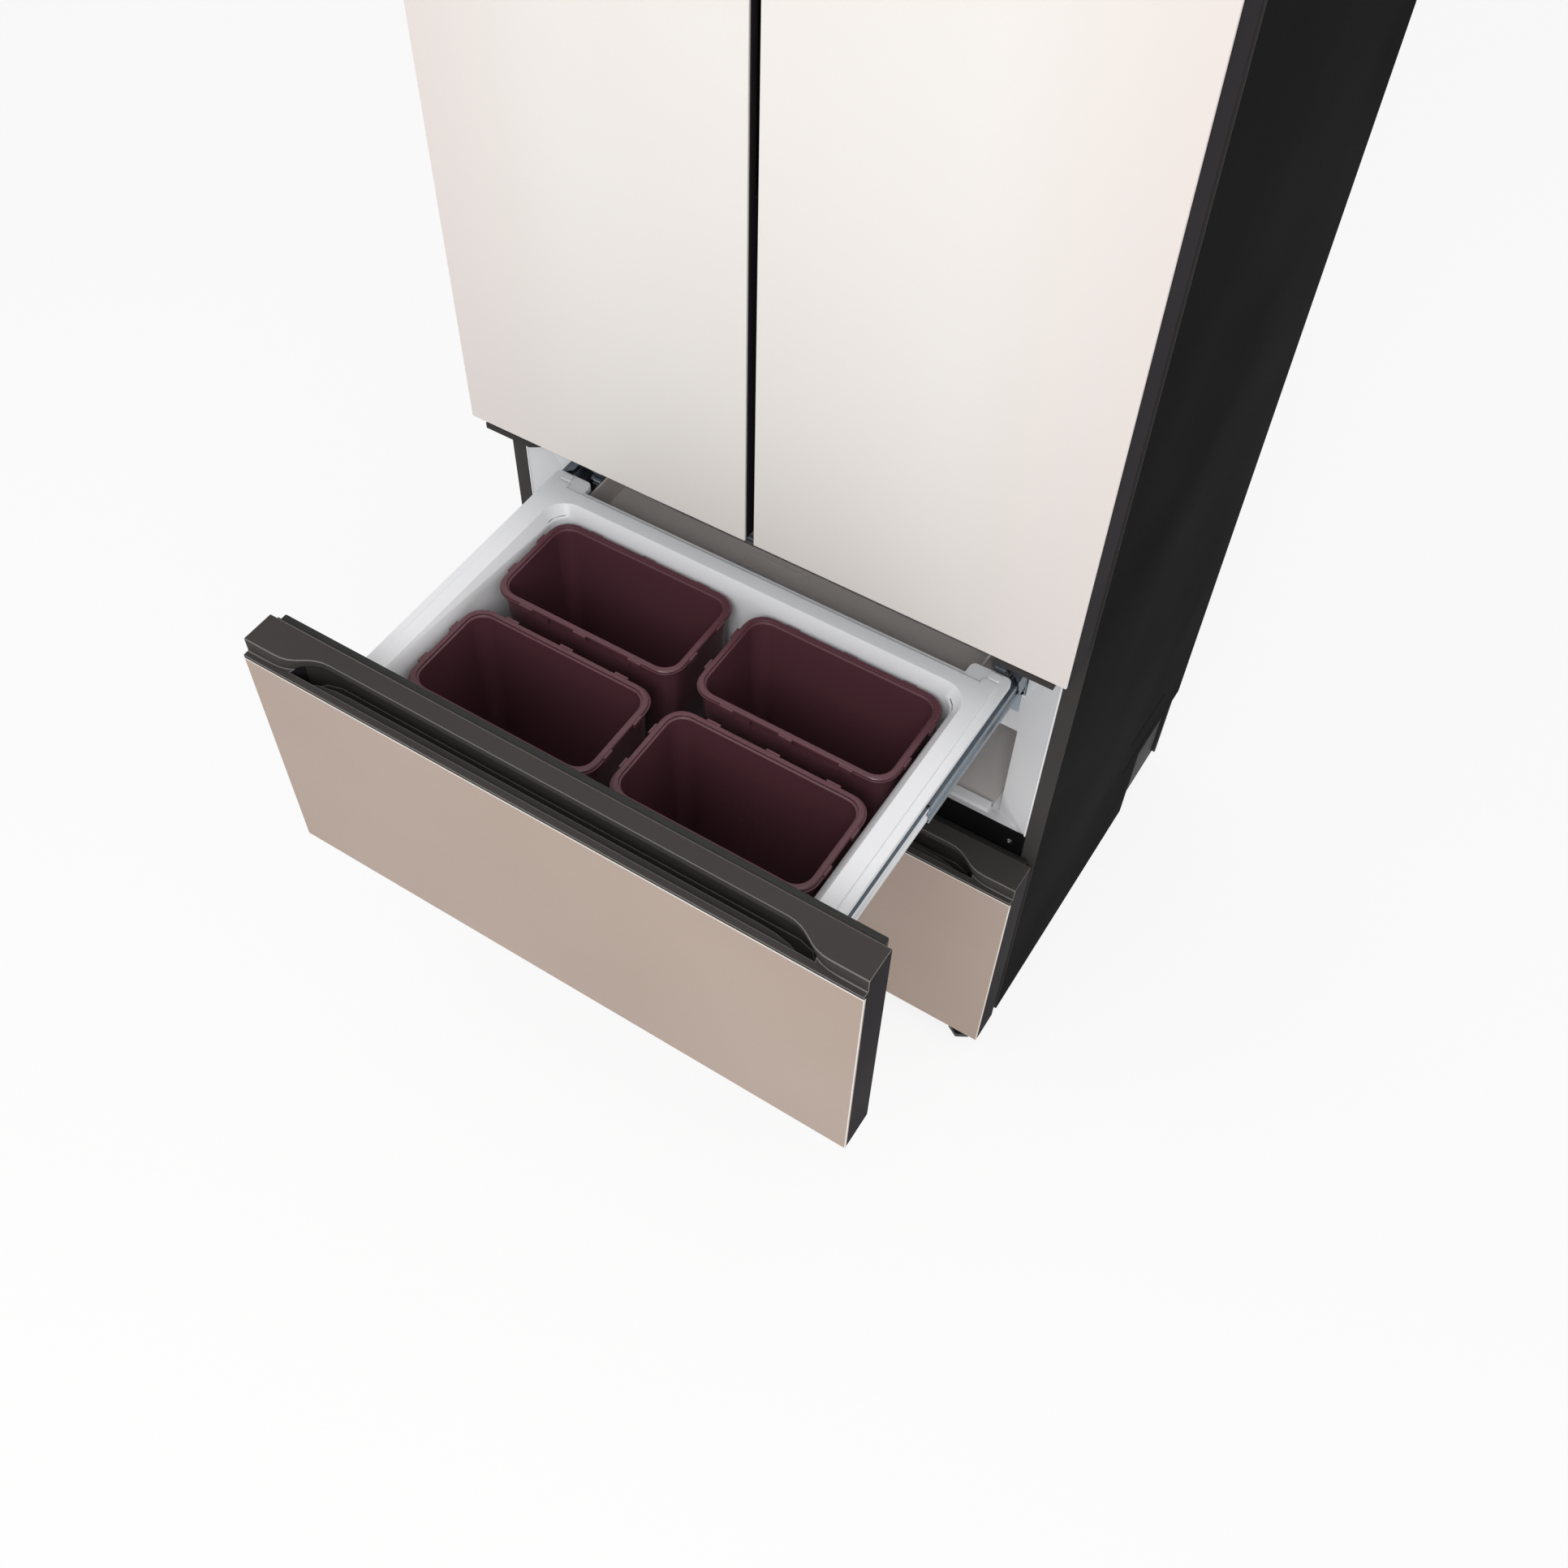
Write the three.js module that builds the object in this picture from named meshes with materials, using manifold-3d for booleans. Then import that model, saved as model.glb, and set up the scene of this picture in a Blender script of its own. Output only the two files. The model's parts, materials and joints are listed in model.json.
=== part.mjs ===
// Kimchi refrigerator: two hinged doors above two pull-out drawers, with the upper drawer standing open.
// Millimetres. X runs left to right, Y from the front to the back, Z up from the floor.
// While the group is built, y = 0 is the front face of the closed doors and drawers.
import * as THREE from 'three';
import { mergeVertices } from 'three/addons/utils/BufferGeometryUtils.js';
import Module from 'manifold-3d';

const wasm = await Module();
wasm.setup();

// Outside sizes
const width = 795;
const floorLift = 30; // floor to the lower drawer front
const lowerFrontHeight = 388.3;
const upperFrontHeight = 365.2;
const drawerGap = 21.4; // between the two drawer fronts
const doorGap = 17.7; // between the upper drawer front and the doors
const doorHeight = 1007.4;
const centreGap = 11.7; // between the two doors
const frontToCabinet = 63.8; // door face to cabinet front
const topRise = 3; // cabinet top above the door tops
const hingeCoverHeight = 20;
const drawerOpen = 416.4; // how far the upper drawer stands open

// Walls and clearances
const seatGap = 0.3; // between pieces that touch
const slideGap = 0.6; // between sliding members
const caseWall = 4; // folded sheet with its bonded foam
const flangeWidth = 21; // front fold of the outer case
const topFlange = 27;
const linerSplitRise = 13; // upper liner starts this far above the upper drawer front
const doorSideWall = 41; // outer case to upper cavity
const mullionHalf = 30;
const doorLand = 24; // door edge to upper cavity, top and bottom
const drawerLandTop = 18;
const drawerLandBottom = 13;
const cavityRearGap = 15; // slides to the back wall of the cavities
const backWall = 77.9;
const cavityRadius = 18;
const linerFloor = 20; // between the lower rail and the upper drawer cavity

// Drawer cavities
const sideWall = 73; // case side to drawer cavity
const mouthDepth = 34; // sloped mouth of a drawer cavity
const sillDepth = 16; // raised sill inside the mouth
const sillHeight = 13;
const upperFloorDrop = 6.7; // cavity floor below the upper drawer front
const lowerFloorRise = 30; // cavity floor above the lower drawer front's edge
const coolingPlateThick = 3;
const coolingPlateInset = 10;
const ledgeWidth = 42.5; // ledge under a slide
const ledgeTopDrop = 139.9; // ledge top below the drawer's top
const ledgeHeight = 67;

// Machine compartment
const machineRoof = 12; // liner above the compartment
const deckFloorGap = 5.4; // lower drawer's rear deck to that liner
const baseThick = 3.6;
const baseBottom = 21;
const notchDepth = 147.9; // cut-out at the lower back of each side
const notchTop = 177;
const sideRecess = 9;
const creaseRises = [95, 28]; // pressed lines in the sides above the cut-out
const creaseReach = 70; // in front of the cut-out
const beadInset = 90; // beads of the back panel from its ends

// Drawer fronts
const panelThick = 4;
const capRise = 25.4; // top of the cap above the panel
const trimHeight = 5.8; // lower lip in front of the finger pocket
const trimDepth = 9;
const capSetBack = 7.6; // cap's front face at its ends
const pocketSetBack = 28.5; // cap's front face along the finger pocket
const capThick = 10; // cap above the undercut
const bendStart = 44; // side edge to where the front face starts to curve
const bendEnd = 108;
const bendSlant = 8; // the curve starts this much nearer the side at its foot
const pocketDepth = 60;
const pocketBack = 44; // back of the undercut
const shelfDrop = 29.9; // shelf behind the trim below the cap
const lipSetBack = 22.5; // shelf's rear edge along the middle
const frontDepth = 51;
const innerPanelThick = 2.7;
const gasketThick = 9.2;
const gasketWidth = 11;

// Tub and containers
const rimDrop = 70.9; // rim of the tub below the drawer's top
const railCoverDrop = 90.6; // underside of the rail covers
const railCoverGap = 4.5; // rail cover to cavity wall
const railCoverWidth = 30; // with its lower outer strip
const railStripWidth = 11;
const railStripDrop = 3;
const tubWallInset = 46.5; // cavity wall to tub wall
const tubRimThick = 12;
const tubMouthDrop = 16; // depth of the sloped mouth of the tub
const tubTaper = 11.5;
const tubWall = 3;
const tubFloorGap = 46.1; // lower tub to the floor of its cavity
const tubFront = 63;
const tubDeckGap = 31; // tub wall to rear deck
const tubRearGap = 8; // lower tub to the wall of the machine compartment
const tubRadius = 28;
const mouthFlare = 10; // mouth's rear edge behind the tub wall
const rimOverhang = 25.4;
const rimStepWidth = 8; // lower step along the rear edge of the rim
const rimStepDrop = 4;
const earLength = 25.5;
const earWidth = 52.5;
const earRadius = 8;
const coverSetBack = 17; // rail cover ends this far before the ear
const containerSideGap = 6;
const containerCentreGap = 23;
const containerFrontGap = 39;
const containerRowGap = 27.5;
const containerRearGap = 6;
const containerRimDrop = 13; // container rims below the tub's rim
const containerWall = 3;
const containerTaper = 7;
const containerRimLip = 4;
const containerRimThick = 6;
const containerRadius = 26;
const containerTabWidth = 22;
const containerTabDrop = 9;
const containerNames = ['front', 'rear'];

// Slides and the shaft that keeps both sides level
const slideFront = 75;
const slideLength = 470;
const slideHalfHeight = 22.5;
const slideDrop = 110.4; // slide axis below the drawer's top
const slideSheet = 1.6;
const slideDepth = 11.6;
const slideBead = 2; // depth of the groove pressed along each member
const slideBeadHalf = 7;
const bracketDrop = 30; // front bracket of the fixed member, below its foot
const gearModule = 3;
const gearTeeth = 12;
const pressureAngle = 25 * Math.PI / 180;
const toothAddendum = 2.4;
const toothDedendum = 3;
const backlash = 0.3;
const pinionWidth = 15;
const shaftInset = 16.6; // shaft from the slides' rear ends
const pinionDrop = 105.3;
const shaftRadius = 4;
const deckDrop = 66; // rear deck below the tub's rim
const deckThick = 2;
const deckLength = 93;
const strapLength = 42; // from each side plate to the deck
const deckSideGap = 7; // rear deck to ledge
const earThick = 3;

// Doors
const pinInset = 28; // hinge pin from the door's outer edge
const pinDepthY = 22;
const pinRadius = 5;
const pinReach = 14;
const boreGap = 0.5;
const doorLinerThick = 2.7;
const dikeClear = 9; // around the raised part of the door liner
const dikeHeight = 34;
const dikeWall = 14;
const binDepth = 66;
const binWall = 3;
const binHeight = 75;
const binLevels = [150, 520]; // above the door's lower edge
const shelfLevel = 480; // above the floor of the upper cavity
const shelfThick = 4;
const shelfFront = 150;
const shelfInset = 2;
const ductStandOff = 11;
const gripDepth = 13;
const gripLow = 430;
const gripHigh = 830;
const hingePlateThick = 9;
const hingePlateRise = 10.5; // top of the lower hinge plate above the upper drawer
const hingePlateReach = 17; // plate in front of the pin
const hingePlateOuter = 13; // plate outside the pin
const hingePlateWidth = 77;
const topHingeThick = 4.5;
const topHingeWidth = 46;
const topHingeLength = 140;
const hingeCoverDepth = 175;
const hingeCoverInset = 4;

// Feet, rollers and machine
const footInset = 33;
const footY = 24;
const footRadius = 19;
const stemRadius = 5;
const rollerRadius = 20;
const rollerWidth = 16;
const rollerInset = 59.5;
const rollerSetBack = 47.9; // roller's axle from the back
const axleRadius = 3;
const compressorRadius = 68;
const compressorHeight = 185;
const compressorInset = 218.75;
const compressorFoot = 92;
const fanRadius = 60;
const fanX = 20;
const tubeInset = 22; // condenser tubes from the edges of its fins

// Levels worked out from the sizes above
const half = width / 2;
const lowerTop = floorLift + lowerFrontHeight;
const upperBottom = lowerTop + drawerGap;
const upperTop = upperBottom + upperFrontHeight;
const doorBottom = upperTop + doorGap;
const doorTop = doorBottom + doorHeight;
const caseTop = doorTop + topRise;
const caseBottom = floorLift - 2.4;
const slideBack = slideFront + slideLength;
const pinionY = slideBack - shaftInset;
const cavityBack = slideBack + cavityRearGap;
const rear = cavityBack + backWall;
const rollerY = rear - rollerSetBack;
const notchFront = rear - notchDepth;
const linerHalf = half - caseWall - seatGap;
const linerFront = frontToCabinet + caseWall + seatGap;
const linerRear = rear - caseWall - seatGap;
const linerFace = frontToCabinet + seatGap;
const openHalf = half - flangeWidth;
const upperSplit = upperTop + linerSplitRise;
const lowerSplit = upperBottom - upperFloorDrop - linerFloor / 4;
const upperFloor = upperBottom - upperFloorDrop;
const lowerFloor = floorLift + lowerFloorRise;
const cavityLow = doorBottom + doorLand;
const cavityHigh = doorTop - doorLand;
const cavityOuter = half - doorSideWall;
const baseTop = baseBottom + baseThick;
const machineTop = lowerTop - rimDrop - deckDrop - deckThick - deckFloorGap - machineRoof;
const railRoomHalf = half - sideWall;
const ledgeInner = railRoomHalf - ledgeWidth;
const slideInner = railRoomHalf - seatGap - slideDepth;
const deckHalf = ledgeInner - deckSideGap;
const tubHalf = railRoomHalf - tubWallInset;
const tubBack = slideBack - deckLength - tubDeckGap;
const machineFront = tubBack + tubWall + tubRearGap + linerFloor;
const railCoverOuter = railRoomHalf - railCoverGap;
const railCoverInner = railCoverOuter - railCoverWidth;
const containerWidth = tubHalf - containerSideGap - containerCentreGap / 2;
const containerRoom = tubBack - tubFront - containerFrontGap - containerRowGap - containerRearGap;
const containerDepth = containerRoom / 2;
const tubHeight = lowerFrontHeight - rimDrop - lowerFloorRise - tubFloorGap;
const containerHeight = tubHeight - tubWall - containerRimDrop - seatGap;
const containerColumn = (containerWidth + containerCentreGap) / 2;
const rearRow = tubBack - containerRearGap - containerDepth / 2;
const containerRows = [rearRow - containerDepth - containerRowGap, rearRow];
const rollerX = half - rollerInset;

// Finishes
const finish = (color, roughness, metalness = 0) => new THREE.MeshStandardMaterial({ color, roughness, metalness });
const creamPanel = finish(0xe9e3de, 0.45);
const taupePanel = finish(0xb3a497, 0.45);
const charcoal = finish(0x3d3a39, 0.5);
const casePaint = finish(0x242526, 0.5);
const framePaint = finish(0x2a2928, 0.5);
const whiteLiner = finish(0xe6e7e8, 0.5);
const coolingMetal = finish(0x7f7670, 0.4, 0.6);
const steel = finish(0x9aa0a6, 0.3, 0.9);
const rubber = finish(0x161616, 0.8);
const burgundy = finish(0x543036, 0.35);
const glass = finish(0xc9d6d6, 0.1);
const blackPart = finish(0x1b1b1c, 0.6);

const model = new THREE.Group();

// Solids from three.js geometry
function solidFrom(geometry) {
  const plain = geometry.index ? geometry.toNonIndexed() : geometry;
  plain.deleteAttribute('normal');
  plain.deleteAttribute('uv');
  const merged = mergeVertices(plain, 1e-4);
  const vertProperties = new Float32Array(merged.attributes.position.array);
  const triVerts = new Uint32Array(merged.index.array);
  return new wasm.Manifold(new wasm.Mesh({ numProp: 3, vertProperties, triVerts }));
}

function geometryFrom(solid) {
  const mesh = solid.getMesh();
  const geometry = new THREE.BufferGeometry();
  geometry.setAttribute('position', new THREE.BufferAttribute(new Float32Array(mesh.vertProperties), 3));
  geometry.setIndex(new THREE.BufferAttribute(new Uint32Array(mesh.triVerts), 1));
  geometry.computeVertexNormals();
  return geometry;
}

function place(parent, name, solid, material) {
  const mesh = new THREE.Mesh(geometryFrom(solid), material);
  mesh.name = name;
  parent.add(mesh);
  return mesh;
}

function box(x0, x1, y0, y1, z0, z1) {
  const geometry = new THREE.BoxGeometry(x1 - x0, y1 - y0, z1 - z0);
  geometry.translate((x0 + x1) / 2, (y0 + y1) / 2, (z0 + z1) / 2);
  return solidFrom(geometry);
}

function both(x0, x1, y0, y1, z0, z1) {
  return box(x0, x1, y0, y1, z0, z1).add(box(-x1, -x0, y0, y1, z0, z1));
}

function outline(points) {
  return new THREE.Shape(points.map(([u, v]) => new THREE.Vector2(u, v)));
}

// Prisms: along Z from an (x, y) outline, along X from a (y, z) outline, along Y from an (x, z) outline
function prismZ(shape, z0, z1, curveSegments = 5) {
  const geometry = new THREE.ExtrudeGeometry(shape, { depth: z1 - z0, bevelEnabled: false, curveSegments });
  geometry.translate(0, 0, z0);
  return solidFrom(geometry);
}

function prismX(shape, x0, x1) {
  const geometry = new THREE.ExtrudeGeometry(shape, { depth: x1 - x0, bevelEnabled: false });
  geometry.rotateX(Math.PI / 2);
  geometry.rotateZ(Math.PI / 2);
  geometry.translate(x0, 0, 0);
  return solidFrom(geometry);
}

function prismY(shape, y0, y1, curveSegments = 5) {
  const geometry = new THREE.ExtrudeGeometry(shape, { depth: y1 - y0, bevelEnabled: false, curveSegments });
  geometry.rotateX(Math.PI / 2);
  geometry.translate(0, y1, 0);
  return solidFrom(geometry);
}

function cylinder(axis, radius, length, centre, sides = 20) {
  const geometry = new THREE.CylinderGeometry(radius, radius, length, sides);
  if (axis === 'z') {
    geometry.rotateX(Math.PI / 2);
  }
  if (axis === 'x') {
    geometry.rotateZ(Math.PI / 2);
  }
  geometry.translate(...centre);
  return solidFrom(geometry);
}

function roundedRect(u0, u1, v0, v1, radius) {
  const shape = new THREE.Shape();
  shape.moveTo(u0 + radius, v0);
  shape.lineTo(u1 - radius, v0);
  shape.absarc(u1 - radius, v0 + radius, radius, -Math.PI / 2, 0, false);
  shape.lineTo(u1, v1 - radius);
  shape.absarc(u1 - radius, v1 - radius, radius, 0, Math.PI / 2, false);
  shape.lineTo(u0 + radius, v1);
  shape.absarc(u0 + radius, v1 - radius, radius, Math.PI / 2, Math.PI, false);
  shape.lineTo(u0, v0 + radius);
  shape.absarc(u0 + radius, v0 + radius, radius, Math.PI, Math.PI * 1.5, false);
  return shape;
}

// A closed body through level loops of points, lowest first, each loop turning left seen from above
function loft(loops) {
  const count = loops[0].length;
  const positions = loops.flat(2);
  const indices = [];
  for (let level = 0; level < loops.length - 1; level += 1) {
    for (let i = 0; i < count; i += 1) {
      const a = level * count + i;
      const b = level * count + (i + 1) % count;
      indices.push(a, b, b + count, a, b + count, a + count);
    }
  }
  const last = (loops.length - 1) * count;
  for (let i = 1; i < count - 1; i += 1) {
    indices.push(0, i + 1, i);
    indices.push(last, last + i, last + i + 1);
  }
  const geometry = new THREE.BufferGeometry();
  geometry.setAttribute('position', new THREE.Float32BufferAttribute(positions, 3));
  geometry.setIndex(indices);
  return solidFrom(geometry);
}

function cornerLoop(x0, x1, y0, y1, radius, z, steps = 5) {
  const right = x1 - radius;
  const left = x0 + radius;
  const centres = [[right, y0 + radius], [right, y1 - radius], [left, y1 - radius], [left, y0 + radius]];
  const points = [];
  centres.forEach(([cx, cy], corner) => {
    for (let step = 0; step <= steps; step += 1) {
      const angle = (corner - 1 + step / steps) * Math.PI / 2;
      points.push([cx + radius * Math.cos(angle), cy + radius * Math.sin(angle), z]);
    }
  });
  return points;
}

// A four-sided body that narrows from a rectangle at y0 to another at y1
function taperedMouth(y0, x0, low0, high0, y1, x1, low1, high1) {
  const ring = (y, x, low, high) => [[-x, y, low], [-x, y, high], [x, y, high], [x, y, low]];
  return loft([ring(y0, x0, low0, high0), ring(y1, x1, low1, high1)]);
}

function mirrored(solid) {
  return solid.mirror([1, 0, 0]);
}

// Outer case, frame and back
function outerCase() {
  const inner = half - caseWall;
  const flangeBack = frontToCabinet + caseWall;
  const shell = box(-half, half, frontToCabinet, rear, caseBottom, caseTop)
    .subtract(box(-inner, inner, flangeBack, rear + 1, caseBottom - 1, caseTop - caseWall))
    .subtract(box(-openHalf, openHalf, frontToCabinet - 1, flangeBack + 1, caseBottom - 1, caseTop - topFlange));
  const notch = both(half - caseWall - 1, half + 1, notchFront, rear + 1, caseBottom - 1, notchTop);
  let pressed = shell.subtract(notch);
  const creaseDepth = 1.2;
  const creaseHeight = 3;
  for (const rise of creaseRises) {
    const low = notchTop + rise;
    const front = notchFront - creaseReach;
    pressed = pressed.subtract(both(half - creaseDepth, half + 1, front, notchFront + 45, low, low + creaseHeight));
  }
  return pressed;
}

function backPanel() {
  let panel = box(-linerHalf, linerHalf, rear - caseWall, rear, machineTop + seatGap, caseTop - caseWall - seatGap);
  const beadCount = 4;
  const beadWidth = 14;
  for (let i = 0; i < beadCount; i += 1) {
    const x = linerHalf * ((2 * i + 1) / beadCount - 1);
    const low = machineTop + beadInset;
    const bead = box(x - beadWidth / 2, x + beadWidth / 2, rear - 1.5, rear + 1, low, caseTop - beadInset);
    panel = panel.subtract(bead);
  }
  return panel;
}

function centreFrame() {
  const across = openHalf - seatGap;
  const back = frontToCabinet + caseWall;
  const rail = box(-across, across, frontToCabinet, back, upperTop - drawerLandTop, cavityLow);
  const mullionTop = caseTop - topFlange - seatGap;
  return rail.add(box(-mullionHalf, mullionHalf, frontToCabinet, back, cavityLow - 1, mullionTop));
}

function dividerRail() {
  const across = openHalf - seatGap;
  const low = lowerTop - drawerLandTop;
  const high = upperBottom + drawerLandBottom;
  return box(-across, across, frontToCabinet, frontToCabinet + caseWall, low, high);
}

// Insulated liners
function upperLiner() {
  const top = caseTop - caseWall - seatGap;
  let body = box(-linerHalf, linerHalf, linerFront, linerRear, upperSplit, top);
  const plugTop = caseTop - topFlange - seatGap;
  const plugLow = cavityLow + seatGap;
  body = body.add(both(mullionHalf + seatGap, openHalf - seatGap, linerFace, linerFront + 1, plugLow, plugTop));
  const shape = roundedRect(mullionHalf, cavityOuter, cavityLow, cavityHigh, cavityRadius);
  const cavity = prismY(shape, frontToCabinet - 1, cavityBack, 4);
  body = body.subtract(cavity).subtract(mirrored(cavity));
  const rib = 8;
  const ribTop = cavityLow + shelfLevel - seatGap;
  const ribBack = cavityBack - ductStandOff - 9;
  body = body.add(both(mullionHalf - 1, mullionHalf + rib, shelfFront + 3, ribBack, ribTop - rib, ribTop));
  body = body.add(both(cavityOuter - rib, cavityOuter + 1, shelfFront + 3, ribBack, ribTop - rib, ribTop));
  return body;
}

// One drawer cavity with its sloped mouth and the ledges that carry the slides
function drawerLiner(blockLow, blockHigh, frontLow, frontTop, floor, floorBack, rearFloor) {
  const mouthLow = frontLow + drawerLandBottom;
  const mouthHigh = frontTop - drawerLandTop;
  const mouthBack = frontToCabinet + mouthDepth;
  let body = box(-linerHalf, linerHalf, linerFront, linerRear, blockLow, blockHigh);
  const plugHalf = openHalf - seatGap;
  body = body.add(box(-plugHalf, plugHalf, linerFace, linerFront + 1, mouthLow + seatGap, mouthHigh - seatGap));
  const front = frontToCabinet;
  body = body.subtract(taperedMouth(front, openHalf, mouthLow, mouthHigh, mouthBack, railRoomHalf, floor, mouthHigh));
  body = body.subtract(box(-railRoomHalf, railRoomHalf, mouthBack - 0.5, floorBack, floor, mouthHigh));
  body = body.subtract(box(-railRoomHalf, railRoomHalf, mouthBack, cavityBack, rearFloor, mouthHigh));
  const sillHalf = railRoomHalf - coolingPlateInset;
  const sillFront = mouthBack - sillDepth - seatGap;
  body = body.add(box(-sillHalf, sillHalf, sillFront, mouthBack - seatGap, floor - 1, floor + sillHeight));
  const ledgeTop = frontTop - ledgeTopDrop;
  body = body.add(both(ledgeInner, railRoomHalf + 1, mouthBack, cavityBack + 1, ledgeTop - ledgeHeight, ledgeTop));
  return body;
}

function lowerLiner() {
  const low = baseTop + seatGap;
  const back = machineFront - linerFloor;
  const shelf = machineTop + machineRoof;
  const body = drawerLiner(low, lowerSplit - seatGap, floorLift, lowerTop, lowerFloor, back, shelf);
  return body.subtract(box(-half, half, machineFront, rear + 1, baseTop - 1, machineTop));
}

function coolingPlate(floor, back) {
  const across = railRoomHalf - coolingPlateInset;
  const front = frontToCabinet + mouthDepth;
  const low = floor + seatGap;
  return box(-across, across, front + seatGap, back - coolingPlateInset, low, low + coolingPlateThick);
}

// Louvred cover over the cold-air duct at the back of an upper cavity
function ductCover(side) {
  const inner = mullionHalf + cavityRadius;
  const outer = cavityOuter - cavityRadius;
  const low = cavityLow + cavityRadius;
  const high = cavityHigh - cavityRadius;
  const face = cavityBack - ductStandOff;
  const wall = 3;
  let cover = box(inner, outer, face, cavityBack - seatGap, low, high);
  cover = cover.subtract(box(inner + wall, outer - wall, face + wall, cavityBack + 1, low + wall, high - wall));
  const slots = 6;
  for (let i = 0; i < slots; i += 1) {
    const z = low + (high - low) * (i + 0.5) / slots;
    cover = cover.subtract(box(inner + 50, outer - 50, face - 1, face + wall + 1, z - 4, z + 4));
  }
  return side > 0 ? cover : mirrored(cover);
}

function shelf(side) {
  const inner = mullionHalf + shelfInset;
  const outer = cavityOuter - shelfInset;
  const low = cavityLow + shelfLevel;
  const back = cavityBack - ductStandOff - 9;
  const plate = box(inner, outer, shelfFront, back, low, low + shelfThick);
  const trim = box(inner, outer, shelfFront - 12, shelfFront + 2, low - 6, low + shelfThick + 6);
  return side > 0 ? plate.add(trim) : mirrored(plate.add(trim));
}

// Channel section of a slide member: web on the outer side, lips turned in
function channel(web, depth, halfHeight, centreZ, lip) {
  const inner = web - depth;
  const beadTop = slideBeadHalf - slideBead;
  const points = [
    [web, centreZ - halfHeight], [web, centreZ - slideBeadHalf], [web - slideBead, centreZ - beadTop],
    [web - slideBead, centreZ + beadTop], [web, centreZ + slideBeadHalf], [web, centreZ + halfHeight],
    [inner, centreZ + halfHeight],
    [inner, centreZ + halfHeight - slideSheet - lip], [inner + slideSheet, centreZ + halfHeight - slideSheet - lip],
    [inner + slideSheet, centreZ + halfHeight - slideSheet], [web - slideSheet, centreZ + halfHeight - slideSheet],
    [web - slideSheet, centreZ + slideBeadHalf], [web - slideSheet - slideBead, centreZ + beadTop],
    [web - slideSheet - slideBead, centreZ - beadTop], [web - slideSheet, centreZ - slideBeadHalf],
    [web - slideSheet, centreZ - halfHeight + slideSheet], [inner + slideSheet, centreZ - halfHeight + slideSheet],
    [inner + slideSheet, centreZ - halfHeight + slideSheet + lip], [inner, centreZ - halfHeight + slideSheet + lip],
    [inner, centreZ - halfHeight],
  ];
  return outline(points);
}

const slideLip = 3.4;
const middleHalfHeight = slideHalfHeight - slideSheet - slideLip - slideGap;
const innerHalfHeight = middleHalfHeight - slideSheet - 2 - slideGap;
const outerWeb = railRoomHalf - seatGap;
const middleWeb = outerWeb - slideSheet - slideGap;
const middleDepth = slideDepth - slideGap;
const innerWeb = middleWeb - slideSheet - slideGap;
const pitchRadius = gearModule * gearTeeth / 2;
const rackOuter = ledgeInner + 0.5 + pinionWidth;

// Rack outline in (y, z): straight-sided teeth, one gap centred at gapAt
function rackOutline(front, back, bottom, pitchLine, gapAt) {
  const pitch = Math.PI * gearModule;
  const slope = Math.tan(pressureAngle);
  const atPitch = pitch / 4 - backlash / 4;
  const tipHalf = atPitch - toothAddendum * slope;
  const rootHalf = atPitch + toothDedendum * slope;
  const root = pitchLine - toothDedendum;
  const tip = pitchLine + toothAddendum;
  const points = [[front, root], [front, bottom], [back, bottom], [back, root]];
  const firstTooth = gapAt + pitch / 2 + Math.ceil((front + pitch / 2 - gapAt - pitch / 2) / pitch) * pitch;
  const teeth = [];
  for (let y = firstTooth; y < back - pitch / 2; y += pitch) {
    teeth.push([y + rootHalf, root], [y + tipHalf, tip], [y - tipHalf, tip], [y - rootHalf, root]);
  }
  const ordered = [];
  for (let i = teeth.length - 4; i >= 0; i -= 4) {
    ordered.push(...teeth.slice(i, i + 4));
  }
  return outline([...points, ...ordered]);
}

// Fixed slide member with the rack on its foot; the foot lies on the liner's ledge
function outerSlide(side, drawerTop, rackGapAt) {
  const centreZ = drawerTop - slideDrop;
  const back = slideBack;
  const front = frontToCabinet + mouthDepth;
  const rail = prismY(channel(outerWeb, slideDepth, slideHalfHeight, centreZ, slideLip), front, back);
  const footBottom = drawerTop - ledgeTopDrop + seatGap;
  const footTop = centreZ - slideHalfHeight + slideSheet;
  const foot = box(ledgeInner + 0.5, outerWeb, front, back, footBottom, footBottom + slideSheet);
  const hookFront = front - seatGap - slideSheet;
  const hookInner = rackOuter + 1;
  const hookOuter = outerWeb - 3;
  const footHigh = footBottom + slideSheet;
  const hook = box(hookInner, hookOuter, hookFront, front - seatGap, footBottom - bracketDrop, footHigh)
    .add(box(hookInner, hookOuter, hookFront, front + 1, footBottom, footHigh));
  const post = box(outerWeb - slideSheet, outerWeb, front, back, footBottom, footTop);
  const pitchLine = drawerTop - pinionDrop - pitchRadius;
  const rackShape = rackOutline(front, back, footBottom, pitchLine, rackGapAt);
  const rack = prismX(rackShape, ledgeInner + 0.5, rackOuter);
  const all = rail.add(foot).add(hook).add(post).add(rack);
  return side > 0 ? all : mirrored(all);
}

function middleSlide(side, drawerTop) {
  const centreZ = drawerTop - slideDrop;
  const section = channel(middleWeb, middleDepth, middleHalfHeight, centreZ, 2);
  const rail = prismY(section, slideFront, slideBack - 2);
  return side > 0 ? rail : mirrored(rail);
}

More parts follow.
